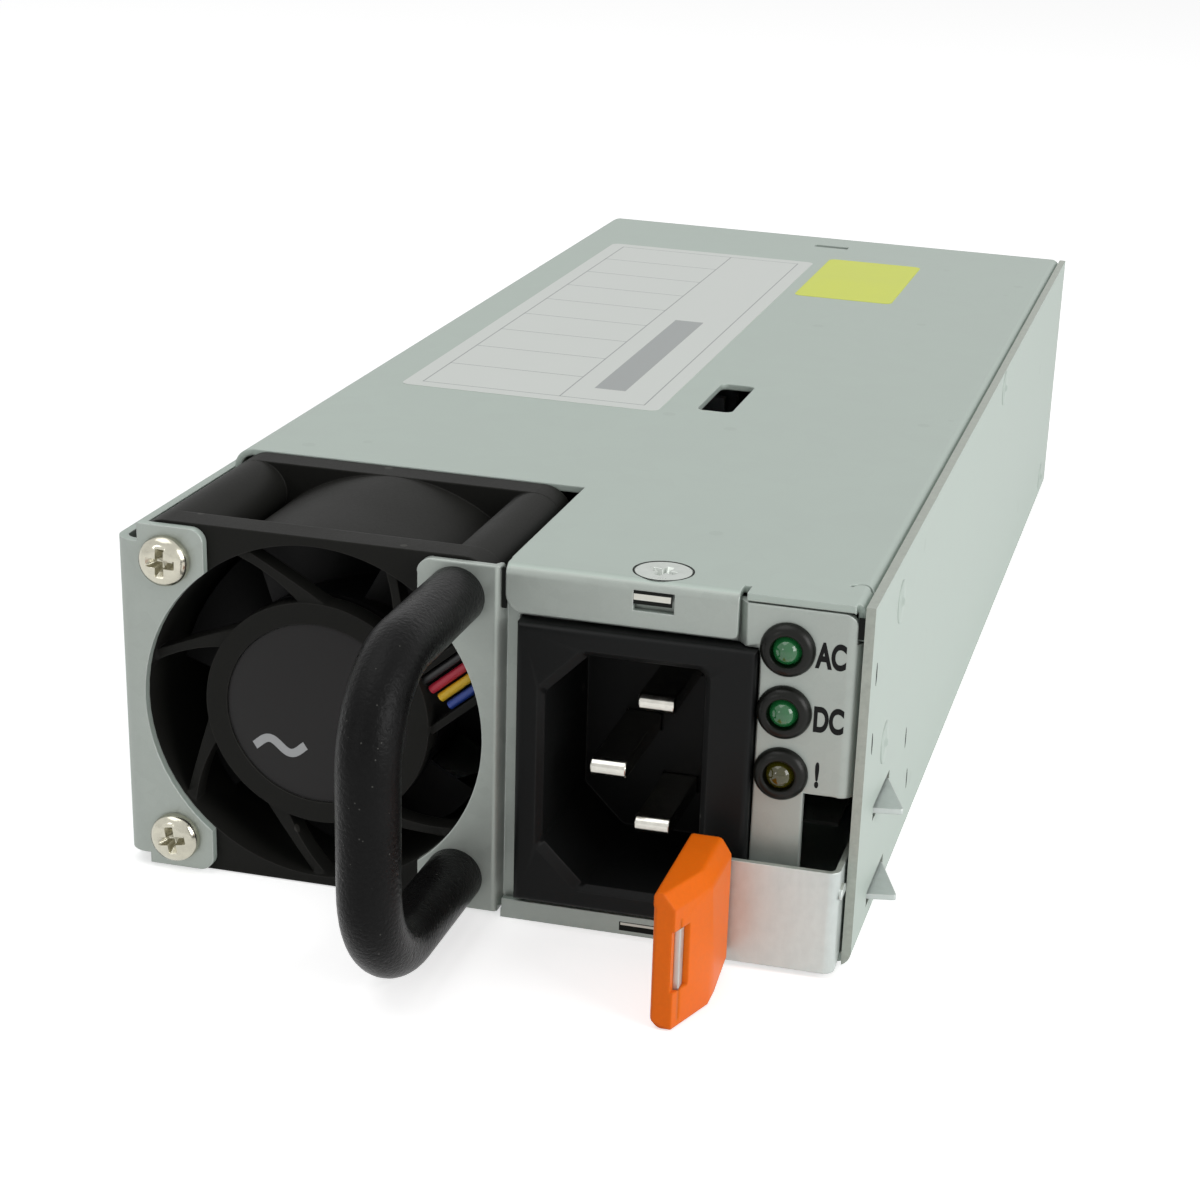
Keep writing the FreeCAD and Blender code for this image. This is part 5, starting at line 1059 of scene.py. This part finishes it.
def makeCatches():
    dark, bright = bmesh.new(), bmesh.new()
    for values in catches.values():
        start, (left, right) = values["face"], values["x"]
        plainBar(dark, (left, right), (start, start + catchBar["darkDeep"]), values["z"])
        plainBar(bright, (left + catchBar["inset"], right - catchBar["inset"]),
                 (start - catchBar["proud"], start + catchBar["deep"]), values["bright"])
    for values in shadowGaps.values():
        plainBar(dark, values["x"], values["y"], values["z"])
    for shape, name, finish in ((dark, "lipShadows", "shadowPit"), (bright, "catchEdges", "catchPaintedHighlight")):
        bmesh.ops.bevel(shape, geom=shape.edges, offset=catchBar["round"] * mm, segments=1, affect="EDGES")
        addPiece(name, shape, finish)


makeCatches()
print("wall marks made")

# camera, floor and light
view = {"turn": 10.54, "tilt": 22.0, "roll": -3.46, "place": (115.5, -227.0, 119.7), "lens": 73.05,
        "shift": (-0.1525, 0.105)}
stage = {"reach": 3.0, "drop": 0.00005, "cloth": (0.8, 0.8, 0.8, 1.0), "fill": 0.6, "sky": 0.36}
lamps = {"above": dict(place=(-0.25, -0.2, 0.9), aim=(0, 0, 0.02), size=0.7, power=2.5),
         "right": dict(place=(0.9, -0.35, 0.4), aim=(0, 0, 0.02), size=0.6, power=5.6),
         "front": dict(place=(-0.5, -1.0, 0.35), aim=(0, -0.1, 0.02), size=0.14, power=0.45)}


def makeCamera():
    lens = bpy.data.cameras.new("camera")
    lens.lens, lens.sensor_width, lens.clip_start = view["lens"], 36.0, 0.01
    lens.shift_x, lens.shift_y = view["shift"]
    camera = linked("camera", lens)
    turns = ((view["turn"], "Z"), (90 - view["tilt"], "X"), (-view["roll"], "Z"))
    matrix = Matrix.Translation(at(*view["place"]))
    for angle, axis in turns:
        matrix = matrix @ Matrix.Rotation(math.radians(angle), 4, axis)
    camera.matrix_world = matrix
    bpy.context.scene.camera = camera


def paleRays(tree):
    # one for the rays that show the pale background: camera, glossy and transmission
    rays = tree.nodes.new("ShaderNodeLightPath").outputs
    seen = addMath(tree, "MAXIMUM", rays["Is Camera Ray"], rays["Is Glossy Ray"])
    return addMath(tree, "MAXIMUM", seen, rays["Is Transmission Ray"])


def makeFloor():
    shape = bmesh.new()
    corners = [shape.verts.new((x * stage["reach"], y * stage["reach"], -stage["drop"]))
               for x, y in ((-1, -1), (1, -1), (1, 1), (-1, 1))]
    shape.faces.new(corners)
    floor = linked("floor", unshaded(shape, "floor"))
    material = bpy.data.materials.new("paleFloor")
    material.use_nodes = True
    tree = material.node_tree
    tree.nodes.clear()
    cloth = addNode(tree, "ShaderNodeBsdfDiffuse", {"Color": stage["cloth"]})
    fill = addNode(tree, "ShaderNodeEmission",
                   {"Strength": addMath(tree, "MULTIPLY", paleRays(tree), stage["fill"])})
    both = addNode(tree, "ShaderNodeAddShader", {0: cloth.outputs[0], 1: fill.outputs[0]})
    addNode(tree, "ShaderNodeOutputMaterial", {"Surface": both.outputs[0]})
    floor.data.materials.append(material)


def makeWorld():
    # a weak even sky, that is white where it is seen
    world = bpy.data.worlds.new("studio")
    bpy.context.scene.world = world
    world.use_nodes = True
    tree = world.node_tree
    tree.nodes.clear()
    more = addMath(tree, "MULTIPLY", paleRays(tree), 1 - stage["sky"])
    sky = addNode(tree, "ShaderNodeBackground", {"Color": (1, 1, 1, 1),
                                                 "Strength": addMath(tree, "ADD", more, stage["sky"])})
    addNode(tree, "ShaderNodeOutputWorld", {"Surface": sky.outputs[0]})


def makeLights():
    for name, values in lamps.items():
        light = bpy.data.lights.new(name, "AREA")
        light.energy, light.size = values["power"], values["size"]
        place = Vector(values["place"])
        aim = (place - Vector(values["aim"])).to_track_quat("Z", "Y").to_matrix().to_4x4()
        linked(name, light).matrix_world = Matrix.Translation(place) @ aim


makeCamera()
makeFloor()
makeWorld()
makeLights()
bpy.context.scene.view_settings.view_transform = "Standard"
print("stage made")
